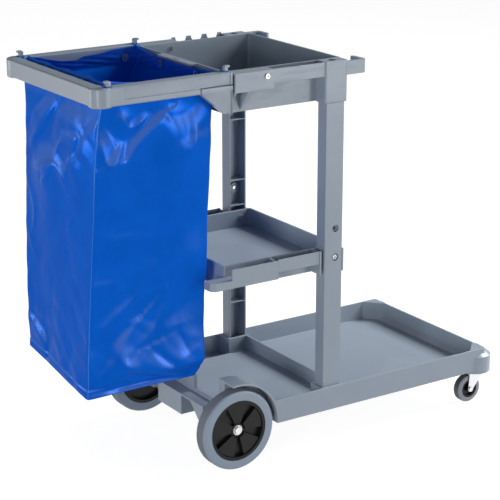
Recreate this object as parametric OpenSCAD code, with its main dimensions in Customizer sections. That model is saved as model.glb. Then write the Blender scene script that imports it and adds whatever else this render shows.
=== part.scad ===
// Janitor cart: a moulded platform on two rear wheels and two casters, a pair of posts that
// carry an open shelf and a deep tray, and a vinyl bag hung inside a U-shaped handle frame.
// Z = 0 is the floor, +X points to the front platform, and the cart is mirrored about Y = 0.

/* [Platform] */
// Distance from the origin back to the platform's rear wall
deck_back = 243; // [230:0.5:260]
// Length of the platform, rear wall to front wall
deck_l = 803; // [770:1:840]
// Width of the platform over its side walls
deck_w = 485; // [470:1:500]
// Height of the platform's side walls
deck_h = 61.5; // [56:0.5:68]
// Thickness of the platform's walls
deck_wall = 5; // [3.5:0.5:6]
// Thickness of the platform's floors
floor_t = 5; // [3.5:0.5:6]
// Depth of the front bay below the rim
front_depth = 50; // [44:0.5:52]
// Depth of the rear bay below the rim
rear_depth = 36; // [30:0.5:40]
// Thickness of the divider between the two bays
divider_t = 6; // [4:0.5:8]
// Size of the sloped foot along the front wall
cove = 12; // [6:0.5:18]
// Leg of the diagonal wall across each front corner
corner_cut = 35; // [25:1:45]
// Width of the low trough between the rear bay's floor and each side wall
trough_w = 56.5; // [52:0.5:60]
// Thickness of the stiffening ribs under the floors
rib_t = 3; // [2:0.5:4]
// Number of ribs along the platform's length
rib_n = 4; // [2:1:6]

/* [Tail] */
// How far the tail ledge reaches behind the rear wall
tail_l = 37; // [28:0.5:45]
// Width of the tail block
tail_w = 114; // [90:1:140]
// Lowest point of the tail block above the floor
tail_z = 92; // [86:0.5:98]
// How far the tail ledge ends inside the rear bay's floor
ledge_in = 16; // [10:0.5:24]
// How far the tail ledge lies below the rim
ledge_drop = 8; // [5:0.5:12]
// Thickness of the tail ledge and its cheeks
ledge_t = 5; // [3.5:0.5:6]
// Height of the tail upstand above the rim
upstand_h = 34; // [20:1:45]
// Thickness of the tail upstand
upstand_t = 12; // [8:0.5:16]

/* [Rear wheels] */
// Radius of a rear tyre
tyre_r = 101.6; // [98:0.1:105]
// Width of a rear tyre
tyre_w = 38.5; // [34:0.5:39]
// Radius of a rear hub, where the tyre seats
hub_r = 78; // [72:0.5:84]
// How far the wheel's face stands outside the platform's side
wheel_proud = 0.5; // [0:0.1:2]
// Distance of the axle in front of the rear wall
axle_in = 15; // [8:0.5:20]
// Radius of the rear axle rod
axle_r = 6.35; // [5.5:0.05:7]
// Clear space between the tyre and its arch
arch_gap = 13; // [9:0.5:16]
// Thickness of the arch's shell
arch_t = 5.5; // [4:0.5:7]
// Clear space between the tyre's inner face and the arch's inner wall
well_gap = 3; // [2.5:0.1:4]
// Number of raised petals on a hub
petals = 5; // [3:1:7]
// Angle that one petal covers
petal_angle = 48; // [36:1:50]
// Depth of the hub's boss below the tyre's face
hub_recess = 7; // [6:0.5:10]

/* [Casters] */
// Height of a caster, floor to the platform's boss
caster_h = 87.5; // [85:0.1:92]
// Radius of a caster wheel
cw_r = 38; // [35:0.5:38.5]
// Width of a caster tyre
cw_w = 24; // [20:0.5:26]
// Radius of a caster hub, where the tyre seats
cw_hub_r = 25; // [20:0.5:28]
// Distance from the swivel axis back to the wheel's axle
trail = 22; // [18:0.5:24]
// Radius of a caster's axle bolt
cw_axle_r = 4; // [3:0.1:5]
// Thickness of the fork's sheet
fork_t = 2.5; // [2:0.1:3]
// Clear space between the tyre and the fork's cheeks
fork_gap = 2; // [1.5:0.1:3]
// Radius of the caster's stem
stem_r = 5.5; // [5:0.1:6.5]
// Length of stem inside the platform's boss
stem_in = 38; // [30:1:42]
// Radius of the platform's caster boss
boss_r = 44; // [40:0.5:48]
// How far a boss stands outside the platform's side
boss_proud = 10; // [6:0.5:14]
// How far a boss stands outside the platform's front wall
boss_over = 34; // [28:0.5:40]
// How far a boss reaches below the side walls
boss_drop = 7; // [4:0.5:9]
// Height of the boss's cone
boss_cone = 22; // [14:0.5:28]
// Radius of the bearing balls
ball_r = 2.1; // [1.8:0.05:2.2]
// Number of bearing balls in a caster
ball_n = 14; // [8:1:16]

/* [Posts] */
// Distance from the rear wall to the posts' centre
post_x = 299.5; // [290:0.5:310]
// Width of a post along the cart
post_w = 53; // [48:0.5:58]
// Depth of a post across the cart
post_d = 35; // [32:0.5:38]
// Wall of a post's channel
post_t = 4.5; // [3.5:0.25:5]
// Distance from the platform's side to a post's outer face
post_in = 9; // [7:0.5:11]
// Length of a post's tenon inside the tray's sleeve
tenon_h = 70; // [50:1:85]
// Wall of the tray's sleeve round the tenon
sleeve_t = 4; // [3:0.25:5]
// Wall of the platform's sockets
socket_t = 7.5; // [5:0.5:9]
// Clear space round a post in its socket and in its sleeve
seat_gap = 0.25; // [0.15:0.05:0.5]
// How far the posts' holes lie in front of the posts' centre
hole_ahead = 6; // [2:0.5:6.5]
// Radius of the posts' holes
post_hole_r = 5; // [4:0.1:6]
// Radius of the recess round a post's hole
recess_r = 9.5; // [8:0.1:10]
// Depth of the recess round a post's hole
recess_d = 6; // [5:0.25:7]
// Height of the spare hole above the shelf's bolt
spare_up = 74; // [50:1:90]
// Thickness of the webs across a post's channel
post_web_t = 3; // [2:0.25:4]
// Spacing of the webs between the platform and the shelf
post_web_low = 147; // [120:1:165]
// Distance of the web below the spare hole
post_web_down = 43; // [30:1:50]
// Distance of the web above the spare hole
post_web_up = 26; // [18:1:40]
// Spacing of the webs between the spare hole and the tray
post_web_pitch = 164; // [120:1:180]

/* [Shelf] */
// Height of the shelf's rim
shelf_z = 514; // [480:1:550]
// Height of the shelf's walls
shelf_h = 59; // [50:0.5:66]
// Depth of the shelf below its rim
shelf_depth = 46; // [38:0.5:48]
// Length of the shelf
shelf_l = 335; // [320:1:350]
// How far the shelf reaches in front of the posts' centre
shelf_front = 38.5; // [36:0.5:45]
// Wall of the shelf, the tray and their rails
tray_wall = 5; // [4:0.25:6]
// Radius of the corners inside the shelf and the tray
inner_r = 8; // [4:0.5:12]
// How far the side rails stand outside the posts
rail_proud = 0.5; // [0.25:0.25:4]
// Length of the shelf's arms behind its rear wall
arm_l = 57; // [48:1:66]
// Height of the shelf's arms
arm_h = 20; // [14:0.5:24]
// How far the arms' underside lies below the rim
arm_drop = 47; // [44:0.5:50]
// Length of the deep rear part of the shelf's rails
shelf_rail_l = 133; // [110:1:150]
// Height of the shallow front part of the shelf's rails
shelf_rail_h = 31; // [24:0.5:36]
// Height of the shelf's bolts below its rim
shelf_bolt_drop = 20; // [15:0.5:24]

/* [Tray] */
// Height of the tray's rim
tray_z = 985; // [970:1:1010]
// Height of the sleeves that drop over the posts
sleeve_h = 101; // [95:1:110]
// Length of the tray
tray_l = 333; // [320:1:345]
// Length of the deep rear part of the tray's rails
tray_rail_l = 116; // [100:1:130]
// Height of the deep rear part of the tray's rails
tray_rail_h = 46; // [44:0.5:52]
// Height of the shallow front part of the tray's rails
tray_rail_low = 35; // [28:0.5:40]
// Reach of the tool hooks in front of the sleeves
hook_l = 57; // [50:0.5:66]
// Length of a tool hook's turned-in leg
hook_leg = 53; // [40:1:60]
// Thickness of a tool hook
hook_t = 10; // [8:0.5:12]
// Height of a tool hook
hook_h = 33; // [26:0.5:36]
// Radius of the accessory hole over each post
top_hole_r = 10.5; // [9:0.1:12]
// Thickness of the plate that closes a sleeve
sleeve_top = 8; // [6:0.5:10]
// Radius of the tool notches in the far rail
notch_r = 17; // [14:0.5:18]
// Number of tool notches
notch_n = 3; // [1:1:3]
// Spacing of the tool notches
notch_pitch = 47; // [40:1:48]
// How far the notched rail stands above the rim
notch_up = 4; // [2:0.5:6]
// Length of the ledges that carry the handle frame
ledge_l = 81; // [70:1:90]
// Half length of the lip on the tray's rear wall
lip_half = 77; // [60:1:90]
// Reach of the lip behind the tray's rear wall
lip_l = 19; // [12:0.5:20]

/* [Handle frame] */
// Distance from the tray's rear wall to the handle's outer face
frame_l = 356; // [340:1:372]
// How far the frame's corners lie inside the rails' outer faces
frame_set = 2; // [1:0.5:6]
// Clear space between the frame's arms and the tray's walls
arm_gap = 1; // [0.5:0.25:2]
// Width of the handle bar
bar_w = 35; // [30:0.5:42]
// Height of the handle frame
frame_h = 43; // [39:0.5:47]
// Height of the band along the frame's lower edge
band_h = 13; // [10:0.5:16]
// How far the frame's top stands above the tray's rim
frame_up = 4; // [2:0.5:6]
// Radius of the frame's corner columns
corner_r = 28; // [25:0.5:32]
// How far the corner columns stand proud of the bars
corner_proud = 2; // [1:0.25:3]
// How far the corner columns reach below the bars
corner_drop = 2.5; // [1.5:0.5:8]
// Radius along the frame's edges
edge_r = 4; // [2:0.5:6]
// Depth of the panels sunk into the frame's arms
panel_d = 2.5; // [1.5:0.25:3.5]
// Length of the frame's tongues inside the tray's rails
tongue_l = 100; // [80:1:110]
// Clear space on each side of a tongue inside its rail
tongue_gap = 4.5; // [3:0.5:7]
// Height of a bag hook
bag_hook_h = 14; // [10:0.5:18]
// Width of a bag hook
bag_hook_w = 10; // [8:0.5:14]
// Radius of a bolt's shank
bolt_r = 3; // [2.5:0.1:3.5]
// Radius of a bolt's head and of a nut's corners
bolt_head_r = 6; // [5.5:0.1:6.5]
// Height of a bolt's head
bolt_head_h = 4; // [3:0.25:5]

/* [Bag] */
// Length of the bag below the handle frame
bag_l = 686; // [640:1:700]
// Thickness of the bag's sheet
bag_t = 2; // [1.5:0.25:3]
// Clear space between the bag's mouth and the frame
bag_gap = 2.5; // [2.3:0.1:4]
// Clear space between the hem and the tray's lip over it
hem_gap = 2; // [1.5:0.25:5]
// How far the bag's rear face leans back at the bottom
bag_lean = 28; // [20:1:30]
// How far the bag's front face draws in towards the bottom
bag_draw = 50; // [40:1:60]
// How far the bag's bottom edge drops on the near side and rises on the far side
bag_tilt = 16; // [0:1:24]
// How far the bag's bottom edges are drawn in
bag_tuck = 8; // [4:1:14]
// How far each side face draws in at the bottom
bag_taper = 28; // [16:1:36]
// Radius of the bag's corners
bag_corner = 14; // [10:1:24]
// Radius of a grommet's flange
grommet_r = 10.5; // [9:0.5:12]
// Radius of a grommet's hole
grommet_hole = 5; // [4:0.25:6]

/* [Hidden] */
$fn = 64;

// Colours
grey = [0.56, 0.60, 0.64];
blue = [0.02, 0.27, 0.75];
black = [0.10, 0.10, 0.11];
zinc = [0.78, 0.79, 0.80];
rubber = [0.47, 0.51, 0.56];

// Clearances shared by many fits
run_gap = 0.05;   // radial clearance of a running fit
rest_gap = 0.3;   // space between faces that move past each other
slip_gap = 0.1;   // radial clearance of a fixed pin in its hole
over = 1;         // how far a cut runs past the face it opens

// Platform stations
half_w = deck_w / 2;
x_rear = -deck_back;
x_front = x_rear + deck_l;
z_under = caster_h + boss_drop;
z_rim = z_under + deck_h;
z_front_floor = z_rim - front_depth;
z_rear_floor = z_rim - rear_depth;
y_wall_in = half_w - deck_wall;
floor_half = y_wall_in - trough_w - deck_wall;
ledge_half = floor_half - ledge_in;
x_boss = x_front + boss_over - boss_r;
y_boss = half_w + boss_proud - boss_r;

// Post stations
x_post = x_rear + post_x;
post_x0 = x_post - post_w / 2;
post_x1 = x_post + post_w / 2;
x_hole = x_post + hole_ahead;
y_post_out = half_w - post_in;
y_post_in = y_post_out - post_d;
rail_half = y_post_out + rail_proud;
post_foot = z_front_floor;
shoulder_z = tray_z - sleeve_h;
sleeve_x0 = post_x0 - sleeve_t;
sleeve_x1 = post_x1 + 2 * sleeve_t;

// Wheel stations
z_axle = tyre_r;
x_axle = x_rear + axle_in;
y_wheel_out = half_w + wheel_proud;
y_wheel_in = y_wheel_out - tyre_w;
y_well = y_wheel_in - well_gap;
arch_r = tyre_r + arch_gap;
washer_t = well_gap / 2;
y_boss_out = y_wheel_out - hub_recess;
push_nut_h = hub_recess - 2;

// Caster stations
x_cw = x_boss - trail;
fork_in = cw_w / 2 + fork_gap;
fork_out = fork_in + fork_t;
fork_clear = 2.5;  // space between the tyre's crown and the fork's crown
z_fork = 2 * cw_r + fork_clear;
z_fork_top = z_fork + fork_t;
race_r = 12.5;  // radius of the circle of balls
cup_r = 18;

// Shelf and tray stations
x_shelf1 = x_post + shelf_front;
x_shelf0 = x_shelf1 - shelf_l;
x_shelf_mid = x_shelf0 + shelf_rail_l;
wall_gap = 0.5;  // space between a post's inner edge and the walls of the shelf and the tray
y_body = y_post_in - wall_gap;
y_body_in = y_body - tray_wall;
z_shelf_low = shelf_z - shelf_h;
z_shelf_floor = shelf_z - shelf_depth;
z_shelf_bolt = shelf_z - shelf_bolt_drop;
z_spare = z_shelf_bolt + spare_up;
z_arm = shelf_z - arm_drop;
cheek_gap = 9;  // space between a post's rear face and the shelf's rear cheek
x_tray1 = x_shelf1;
x_tray0 = x_tray1 - tray_l;
x_tray_mid = x_tray0 + tray_rail_l;
sleeve_drop = 2;  // how far the sleeves reach below the tray's walls
z_tray_low = shoulder_z + sleeve_drop;
z_rail = tray_z - tray_rail_h;

// Handle frame stations
x_bar = x_tray0 - frame_l;
x_bar_in = x_bar + bar_w;
frame_half = rail_half - frame_set;
frame_in = y_body + arm_gap;
z_frame_top = tray_z + frame_up;
z_frame = z_frame_top - frame_h;
z_band = z_frame + band_h;
butt_gap = 1.5;  // visible joint between the frame's ends and the tray
arm_lap = 6;  // how far the frame's arms run past the tray's rear wall
x_arm_end = x_tray0 + arm_lap;
x_rail = x_arm_end + butt_gap;
x_ledge = x_tray0 - ledge_l;
z_tongue_top = tray_z - tray_wall - rest_gap;
tongue_in = y_body + tongue_gap;
tongue_out = rail_half - tray_wall - tongue_gap;
frame_side = frame_half - corner_proud;
frame_bolt_in = 10;  // distance of the frame's bolt from the tongue's end
frame_bolt_down = 14;  // depth of the frame's bolt below the tray's rim
x_frame_bolt = x_arm_end + tongue_l - frame_bolt_in;
z_frame_bolt = tray_z - frame_bolt_down;
hook_rear_in = 41;  // distance of the rear bag hooks from the handle's outer face
hook_side_in = 16;  // distance of the rear bag hooks from the corner columns' sides
hook_end_in = 10;  // distance of the front bag hooks from the arms' ends
hook_arm_in = 10.5;  // distance of the front bag hooks from the arms' inner faces
hook_half = 5;  // half thickness of a bag hook's stem along the cart
hook_rear_x = x_bar + hook_rear_in;
hook_rear_y = frame_half - hook_side_in;
hook_front_x = x_arm_end - hook_end_in;
hook_front_y = frame_in + hook_arm_in;

// Bag stations
bag_x0 = x_bar_in + bag_gap;
mouth_gap = 3.5;  // space between the bag's mouth and the tray's rear wall
bag_x1 = x_tray0 - mouth_gap;
bag_y = frame_in - bag_gap;
z_hem = tray_z - tray_wall - hem_gap;
z_neck = z_frame - corner_drop - over;

// Box between two corners
module box(x0, x1, y0, y1, z0, z1) {
  translate([x0, y0, z0]) cube([x1 - x0, y1 - y0, z1 - z0]);
}

// Rectangle with round corners
module round_rect(x0, x1, y0, y1, r) {
  translate([x0 + r, y0]) square([x1 - x0 - 2 * r, y1 - y0]);
  translate([x0, y0 + r]) square([x1 - x0, y1 - y0 - 2 * r]);
  for (x = [x0 + r, x1 - r], y = [y0 + r, y1 - r]) translate([x, y]) circle(r);
}

// Outline drawn in X and Z, drawn out along Y
module along_y(y0, y1) {
  translate([0, y1, 0]) rotate([90, 0, 0]) linear_extrude(y1 - y0) children();
}

// Outline drawn in Y and Z, drawn out along X
module along_x(x0, x1) {
  translate([x0, 0, 0]) rotate([90, 0, 90]) linear_extrude(x1 - x0) children();
}

// Round bar along Y
module bar_y(x, z, y0, y1, r) {
  translate([x, y0, z]) rotate([-90, 0, 0]) cylinder(r = r, h = y1 - y0);
}

// Far side as drawn, and the near side as its mirror image
module both_sides() {
  children();
  mirror([0, 1, 0]) children();
}

// Platform

module deck_walls() {
  translate([0, 0, z_under]) linear_extrude(deck_h) difference() {
    round_rect(x_rear, x_front, -half_w, half_w, deck_wall);
    translate([x_rear + deck_wall, -y_wall_in]) square([deck_l - 2 * deck_wall, 2 * y_wall_in]);
  }
}

module deck_floors() {
  box(x_rear + over, post_x1, -floor_half - over, floor_half + over, z_rear_floor - floor_t, z_rear_floor);
  box(post_x1 - divider_t, x_front - over, -y_wall_in - over, y_wall_in + over,
      z_front_floor - floor_t, z_front_floor);
  both_sides() box(x_rear + over, post_x1, floor_half, y_wall_in + over,
                   z_front_floor - floor_t, z_front_floor);
  box(post_x1 - divider_t, post_x1, -y_post_in, y_post_in, z_front_floor - floor_t, z_rim);
  along_y(-y_wall_in, y_wall_in) polygon([[x_front - deck_wall - cove, z_front_floor],
                                          [x_front - deck_wall, z_front_floor],
                                          [x_front - deck_wall, z_front_floor + cove]]);
}

// Steps down to the side troughs, post sockets and the diagonal walls over the casters
module deck_sides() {
  both_sides() {
    box(x_rear + over, post_x0 - socket_t, floor_half, floor_half + deck_wall, z_under, z_rear_floor);
    box(post_x0 - socket_t, post_x1 + socket_t / 2, y_post_in - socket_t, y_wall_in + over,
        z_front_floor - floor_t, z_rim);
    translate([0, 0, z_under]) linear_extrude(deck_h)
      polygon([[x_front - deck_wall - corner_cut, y_wall_in + over],
               [x_front - deck_wall - corner_cut, y_wall_in],
               [x_front - deck_wall, y_wall_in - corner_cut],
               [x_front - deck_wall + over, y_wall_in - corner_cut],
               [x_front - deck_wall + over, y_wall_in + over]]);
  }
}

module deck_ribs() {
  step_y = 2 * y_wall_in / (rib_n + 1);
  for (i = [1 : rib_n]) {
    y = -y_wall_in + i * step_y;
    box(post_x1, x_front - over, y - rib_t / 2, y + rib_t / 2, z_under, z_front_floor - floor_t + over);
  }
  step_x = (x_front - post_x1) / (rib_n + 1);
  for (i = [1 : rib_n]) {
    x = post_x1 + i * step_x;
    box(x - rib_t / 2, x + rib_t / 2, -y_wall_in - over, y_wall_in + over,
        z_under, z_front_floor - floor_t + over);
  }
}

module caster_bosses() {
  boss_tip_r = 13;
  both_sides() translate([x_boss, y_boss, 0]) {
    translate([0, 0, caster_h]) cylinder(r = boss_r, h = z_rim - boss_cone - caster_h);
    translate([0, 0, z_rim - boss_cone]) cylinder(r1 = boss_r, r2 = boss_tip_r, h = boss_cone);
  }
}

// Tail: a ledge behind the rear wall with a hollow block under it, an upstand over it
// and a slanted cheek towards each wheel
module tail() {
  z_ledge = z_rim - ledge_drop;
  x_tail = x_rear - tail_l;
  box(x_tail, x_rear + over, -ledge_half, ledge_half, z_ledge - ledge_t, z_ledge);
  difference() {
    box(x_tail, x_rear + deck_wall, -tail_w / 2, tail_w / 2, tail_z, z_ledge);
    box(x_tail + ledge_t, x_rear - over, -tail_w / 2 + ledge_t, tail_w / 2 - ledge_t,
        tail_z - over, z_ledge - ledge_t);
  }
  box(x_rear, x_rear + upstand_t, -tail_w / 2, tail_w / 2, z_rear_floor - floor_t, z_rim + upstand_h);
  cheek_drop = 48;
  cheek_top = 60;
  cheek_low = 17;
  both_sides() along_x(x_tail, x_tail + ledge_t)
    polygon([[ledge_half - cheek_top, z_ledge - ledge_t], [ledge_half, z_ledge - ledge_t],
             [ledge_half, z_ledge - cheek_drop], [ledge_half - cheek_low, z_ledge - cheek_drop]]);
}

// Arch over a rear wheel: a drum round the axle, cut off at the rear wall
module arches() {
  both_sides() intersection() {
    bar_y(x_axle, z_axle, floor_half, half_w, arch_r + arch_t);
    box(x_rear, x_axle + 2 * arch_r, floor_half, half_w, z_under, z_axle + 2 * arch_r);
  }
}

module wheel_wells() {
  both_sides() {
    bar_y(x_axle, z_axle, y_well, y_wheel_out + over, arch_r);
    intersection() {
      bar_y(x_axle, z_axle, floor_half + deck_wall, y_well - deck_wall, arch_r);
      box(x_rear + deck_wall, x_axle + arch_r, floor_half, y_well, 0, z_axle + arch_r);
    }
  }
}

// Blocks under the rear floor that hold the axle rod
module axle_saddles() {
  saddle_half = 17;
  saddle_low = 13;
  saddle_in = 30;
  both_sides() box(x_rear, x_axle + saddle_half, floor_half - saddle_in, y_well,
                   z_axle - saddle_low, z_rear_floor - over);
}

module base_platform() {
  stem_room = 2;
  color(grey) difference() {
    union() {
      difference() {
        union() {
          deck_walls();
          deck_floors();
          deck_sides();
          deck_ribs();
          arches();
        }
        wheel_wells();
      }
      tail();
      axle_saddles();
      caster_bosses();
    }
    both_sides() box(post_x0 - seat_gap, post_x1 + seat_gap, y_post_in - seat_gap,
                     y_post_out + seat_gap, post_foot, z_rim + over);
    bar_y(x_axle, z_axle, -half_w, half_w, axle_r + slip_gap);
    both_sides() translate([x_boss, y_boss, caster_h - over])
      cylinder(r = stem_r + slip_gap, h = stem_in + over + stem_room);
  }
}

// Posts

module post_section(x0, x1, y0, y1, wall) {
  difference() {
    translate([x0, y0]) square([x1 - x0, y1 - y0]);
    translate([x0 + wall, y0 - over]) square([x1 - x0 - 2 * wall, y1 - y0 - wall + over]);
  }
}

module post_boss(z) {
  bar_y(x_hole, z, y_post_out - recess_d - post_t, y_post_out, recess_r + post_t);
}

module post_hole(z) {
  bar_y(x_hole, z, y_post_in - over, y_post_out + over, post_hole_r);
  bar_y(x_hole, z, y_post_out - recess_d, y_post_out + over, recess_r);
}

module far_post() {
  web_z = [post_foot, post_foot + post_web_low, post_foot + 2 * post_web_low,
           z_spare - post_web_down, z_spare + post_web_up, z_spare + post_web_up + post_web_pitch,
           shoulder_z - post_web_t];
  step = sleeve_t + seat_gap;
  color(grey) difference() {
    union() {
      translate([0, 0, post_foot]) linear_extrude(shoulder_z - post_foot)
        post_section(post_x0, post_x1, y_post_in, y_post_out, post_t);
      translate([0, 0, shoulder_z - post_d]) linear_extrude(tenon_h + post_d)
        post_section(post_x0 + step, post_x1 - step, y_post_in + step, y_post_out - step, post_t);
      for (z = web_z)
        box(post_x0 + over, post_x1 - over, y_post_in, y_post_out - over, z, z + post_web_t);
      post_boss(z_shelf_bolt);
      post_boss(z_spare);
    }
    post_hole(z_shelf_bolt);
    post_hole(z_spare);
  }
}

module near_post() {
  mirror([0, 1, 0]) far_post();
}

// Shelf

// Open tray with thin walls, with its floor above its lower edge
module open_tray(x0, x1, y, z0, z1, z_floor) {
  difference() {
    translate([0, 0, z0]) linear_extrude(z1 - z0) round_rect(x0, x1, -y, y, tray_wall);
    translate([0, 0, z_floor]) linear_extrude(z1 - z_floor + over)
      round_rect(x0 + tray_wall, x1 - tray_wall, -y + tray_wall, y - tray_wall, inner_r);
    box(x0 + tray_wall, x1 - tray_wall, -y + tray_wall, y - tray_wall, z0 - over, z_floor - tray_wall);
  }
}

// Side rail of the shelf: a deep rear part over the arm, a shallow front part and two cheeks
module shelf_side() {
  z_front = shelf_z - shelf_rail_h;
  x_cheek = post_x0 - cheek_gap;
  bevel = 10;
  step_drop = 5;
  rail_up = 2;
  translate([0, 0, z_arm]) linear_extrude(arm_h)
    polygon([[x_shelf0 - arm_l, y_body - over], [x_shelf_mid, y_body - over], [x_shelf_mid, rail_half],
             [x_shelf0 - arm_l + bevel, rail_half], [x_shelf0 - arm_l, rail_half - bevel]]);
  box(x_shelf0, x_shelf_mid, rail_half - tray_wall, rail_half, z_arm, shelf_z);
  along_x(x_shelf_mid - tray_wall, x_shelf_mid)
    polygon([[y_body - over, z_arm], [rail_half - over, z_arm], [rail_half - over, shelf_z - step_drop],
             [y_body - over, shelf_z]]);
  box(x_shelf_mid - over, x_cheek, rail_half - tray_wall, rail_half, z_front, shelf_z + rail_up);
  box(x_shelf_mid - over, x_cheek, y_body - over, rail_half, z_front, z_front + tray_wall);
  for (x = [x_cheek - tray_wall, post_x1 + rest_gap])
    box(x, x + tray_wall, y_body - over, rail_half, z_shelf_low, shelf_z);
}

module middle_shelf() {
  color(grey) difference() {
    union() {
      open_tray(x_shelf0, x_shelf1, y_body, z_shelf_low, shelf_z, z_shelf_floor);
      both_sides() shelf_side();
    }
    both_sides() bar_y(x_hole, z_shelf_bolt, y_body_in - over, y_body + over, bolt_r + slip_gap);
  }
}

// Tray

// Triangular web under the tray's side rail
module rail_web(x) {
  along_x(x, x + tray_wall) polygon([[y_body - over, z_rail + over], [rail_half, z_rail + over],
                                     [rail_half, z_rail], [y_body, z_tray_low + tray_wall],
                                     [y_body - over, z_tray_low + tray_wall]]);
}

// Ledge that carries the end of the handle frame's arm, with its gusset
module frame_ledge() {
  side_gap = 8;
  rise = 2;
  inset = 6;
  foot = 15;
  y_in = frame_in + side_gap;
  ledge_z = z_frame + rise;
  x_root = x_tray0 + tray_wall;
  z_foot = z_tray_low + inset;
  box(x_ledge, x_root, y_in, frame_side, ledge_z, z_band);
  along_y(y_in, frame_side - corner_proud)
    polygon([[x_ledge + inset, ledge_z + over], [x_ledge + inset, ledge_z - inset],
             [x_tray0 - foot, z_foot], [x_root, z_foot], [x_root, ledge_z + over]]);
  box(x_tray0, x_root, y_body - over, y_in + over, z_foot, z_band);
}

// Rear part of the side rail: a box that takes the frame's tongue
module rail_box() {
  rail_web_pitch = 35;
  box(x_rail, x_tray_mid, y_body - over, rail_half, tray_z - tray_wall, tray_z);
  box(x_rail, x_tray_mid, rail_half - tray_wall, rail_half, z_rail, tray_z);
  box(x_rail, x_tray_mid, y_body - over, rail_half, z_rail, z_rail + tray_wall);
  box(x_tray_mid - tray_wall, x_tray_mid, y_body - over, rail_half, z_rail, tray_z);
  for (x = [x_rail, x_rail + rail_web_pitch]) rail_web(x);
}

// Front part of the side rail: an open channel between the tray and the sleeve
module rail_channel() {
  z_low = tray_z - tray_rail_low;
  box(x_tray_mid - over, sleeve_x0 + over, rail_half - tray_wall, rail_half, z_low, tray_z);
  box(x_tray_mid - over, sleeve_x0 + over, y_body - over, rail_half, z_low, z_low + tray_wall);
}

// Sleeve that drops over a post's tenon and seats on its shoulder
module sleeve() {
  step = sleeve_t;
  difference() {
    translate([0, 0, shoulder_z]) linear_extrude(tray_z - shoulder_z)
      round_rect(sleeve_x0, sleeve_x1, y_body - tray_wall, y_post_out, sleeve_t);
    box(post_x0 + step, post_x1 - step, y_post_in + step, y_post_out - step,
        shoulder_z - over, tray_z - sleeve_top);
  }
}

// Tool hook: an arm in line with the rail and a leg turned in at its end
module tool_hook() {
  x0 = post_x1 - sleeve_t;
  x1 = sleeve_x1 + hook_l;
  hook_drop = 4;
  translate([0, 0, tray_z - hook_drop - hook_h]) linear_extrude(hook_h) difference() {
    round_rect(x0, x1, rail_half - hook_leg, rail_half, hook_t);
    translate([x0 - over, rail_half - hook_leg - over])
      square([x1 - x0 - hook_t + over, hook_leg + over - hook_t]);
  }
}

// Raised far rail with round notches that hold tool handles
module notch_rail() {
  box(x_tray_mid, sleeve_x0 + over, rail_half - tray_wall, rail_half, tray_z - over, tray_z + notch_up);
}

module notch_cuts() {
  x_mid = (x_tray_mid + sleeve_x0) / 2;
  for (i = [0 : notch_n - 1])
    bar_y(x_mid + (i - (notch_n - 1) / 2) * notch_pitch, tray_z + notch_up,
          rail_half - tray_wall - over, rail_half + over, notch_r);
}

module rear_lip() {
  slot_half = 14;
  slot_w = 4;
  translate([0, 0, tray_z - tray_wall]) linear_extrude(tray_wall) difference() {
    round_rect(x_tray0 - lip_l, x_tray0 + tray_wall, -lip_half, lip_half, tray_wall);
    translate([x_tray0 - (lip_l + slot_w) / 2, -slot_half]) square([slot_w, 2 * slot_half]);
  }
}

module top_tray() {
  color(grey) difference() {
    union() {
      open_tray(x_tray0, x_tray1, y_body, z_tray_low, tray_z, z_tray_low + tray_wall);
      both_sides() {
        rail_box();
        rail_channel();
        sleeve();
        tool_hook();
        frame_ledge();
      }
      notch_rail();
      rear_lip();
    }
    notch_cuts();
    both_sides() {
      translate([x_post, (y_post_in + y_post_out) / 2, tray_z - sleeve_top - over])
        cylinder(r = top_hole_r, h = sleeve_top + 2 * over);
      bar_y(x_frame_bolt, z_frame_bolt, y_body_in - over, rail_half + over, bolt_r + slip_gap);
    }
  }
}

// Handle frame

// Hook over the frame whose lip points away from the bag
module bag_hook(x, y, side) {
  crown = bag_hook_h - hook_half + over;
  translate([x, y, z_frame_top - over]) along_y(-bag_hook_w / 2, bag_hook_w / 2) {
    translate([-hook_half, 0]) square([2 * hook_half, crown]);
    translate([0, crown]) circle(hook_half);
    translate([side > 0 ? 0 : -2 * hook_half, crown]) square([2 * hook_half, hook_half]);
  }
}

module frame_arm_profile() {
  difference() {
    round_rect(frame_in, frame_side, z_frame, z_frame_top, edge_r);
    translate([frame_side - panel_d, z_band]) square([panel_d + over, frame_h - band_h - edge_r]);
  }
}

module frame_arm() {
  plain = 20;
  end_t = 8;
  x_panel = x_bar + 2 * corner_r + plain;
  along_x(x_bar + corner_r, x_panel)
    round_rect(frame_in, frame_side, z_frame, z_frame_top, edge_r);
  difference() {
    along_x(x_panel - over, x_arm_end - end_t / 2) frame_arm_profile();
    box(x_ledge - butt_gap, x_arm_end + over, frame_in - over, frame_half + over, z_frame - over, z_band);
  }
  box(x_arm_end - end_t, x_arm_end, frame_in, frame_side, z_band, z_frame_top);
  box(x_arm_end - end_t, x_arm_end + tongue_l, tongue_in, tongue_out, z_band, z_tongue_top);
}

module corner_column() {
  translate([x_bar + corner_r, frame_half - corner_r, z_frame - corner_drop])
    rotate_extrude() intersection() {
      round_rect(-corner_r, corner_r, 0, frame_h + corner_drop, edge_r);
      square([corner_r, frame_h + corner_drop]);
    }
}

module handle_frame() {
  color(grey) difference() {
    union() {
      along_y(-frame_half + corner_r, frame_half - corner_r)
        round_rect(x_bar + corner_proud, x_bar_in, z_frame, z_frame_top, edge_r);
      both_sides() {
        difference() {
          corner_column();
          box(x_bar_in, x_bar + 3 * corner_r, 0, frame_in, 0, z_frame_top + over);
        }
        frame_arm();
        bag_hook(hook_rear_x, hook_rear_y, -1);
        bag_hook(hook_front_x, hook_front_y, 1);
      }
    }
    both_sides() bar_y(x_frame_bolt, z_frame_bolt, y_body, rail_half, bolt_r + slip_gap);
  }
}

// Bag

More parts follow.
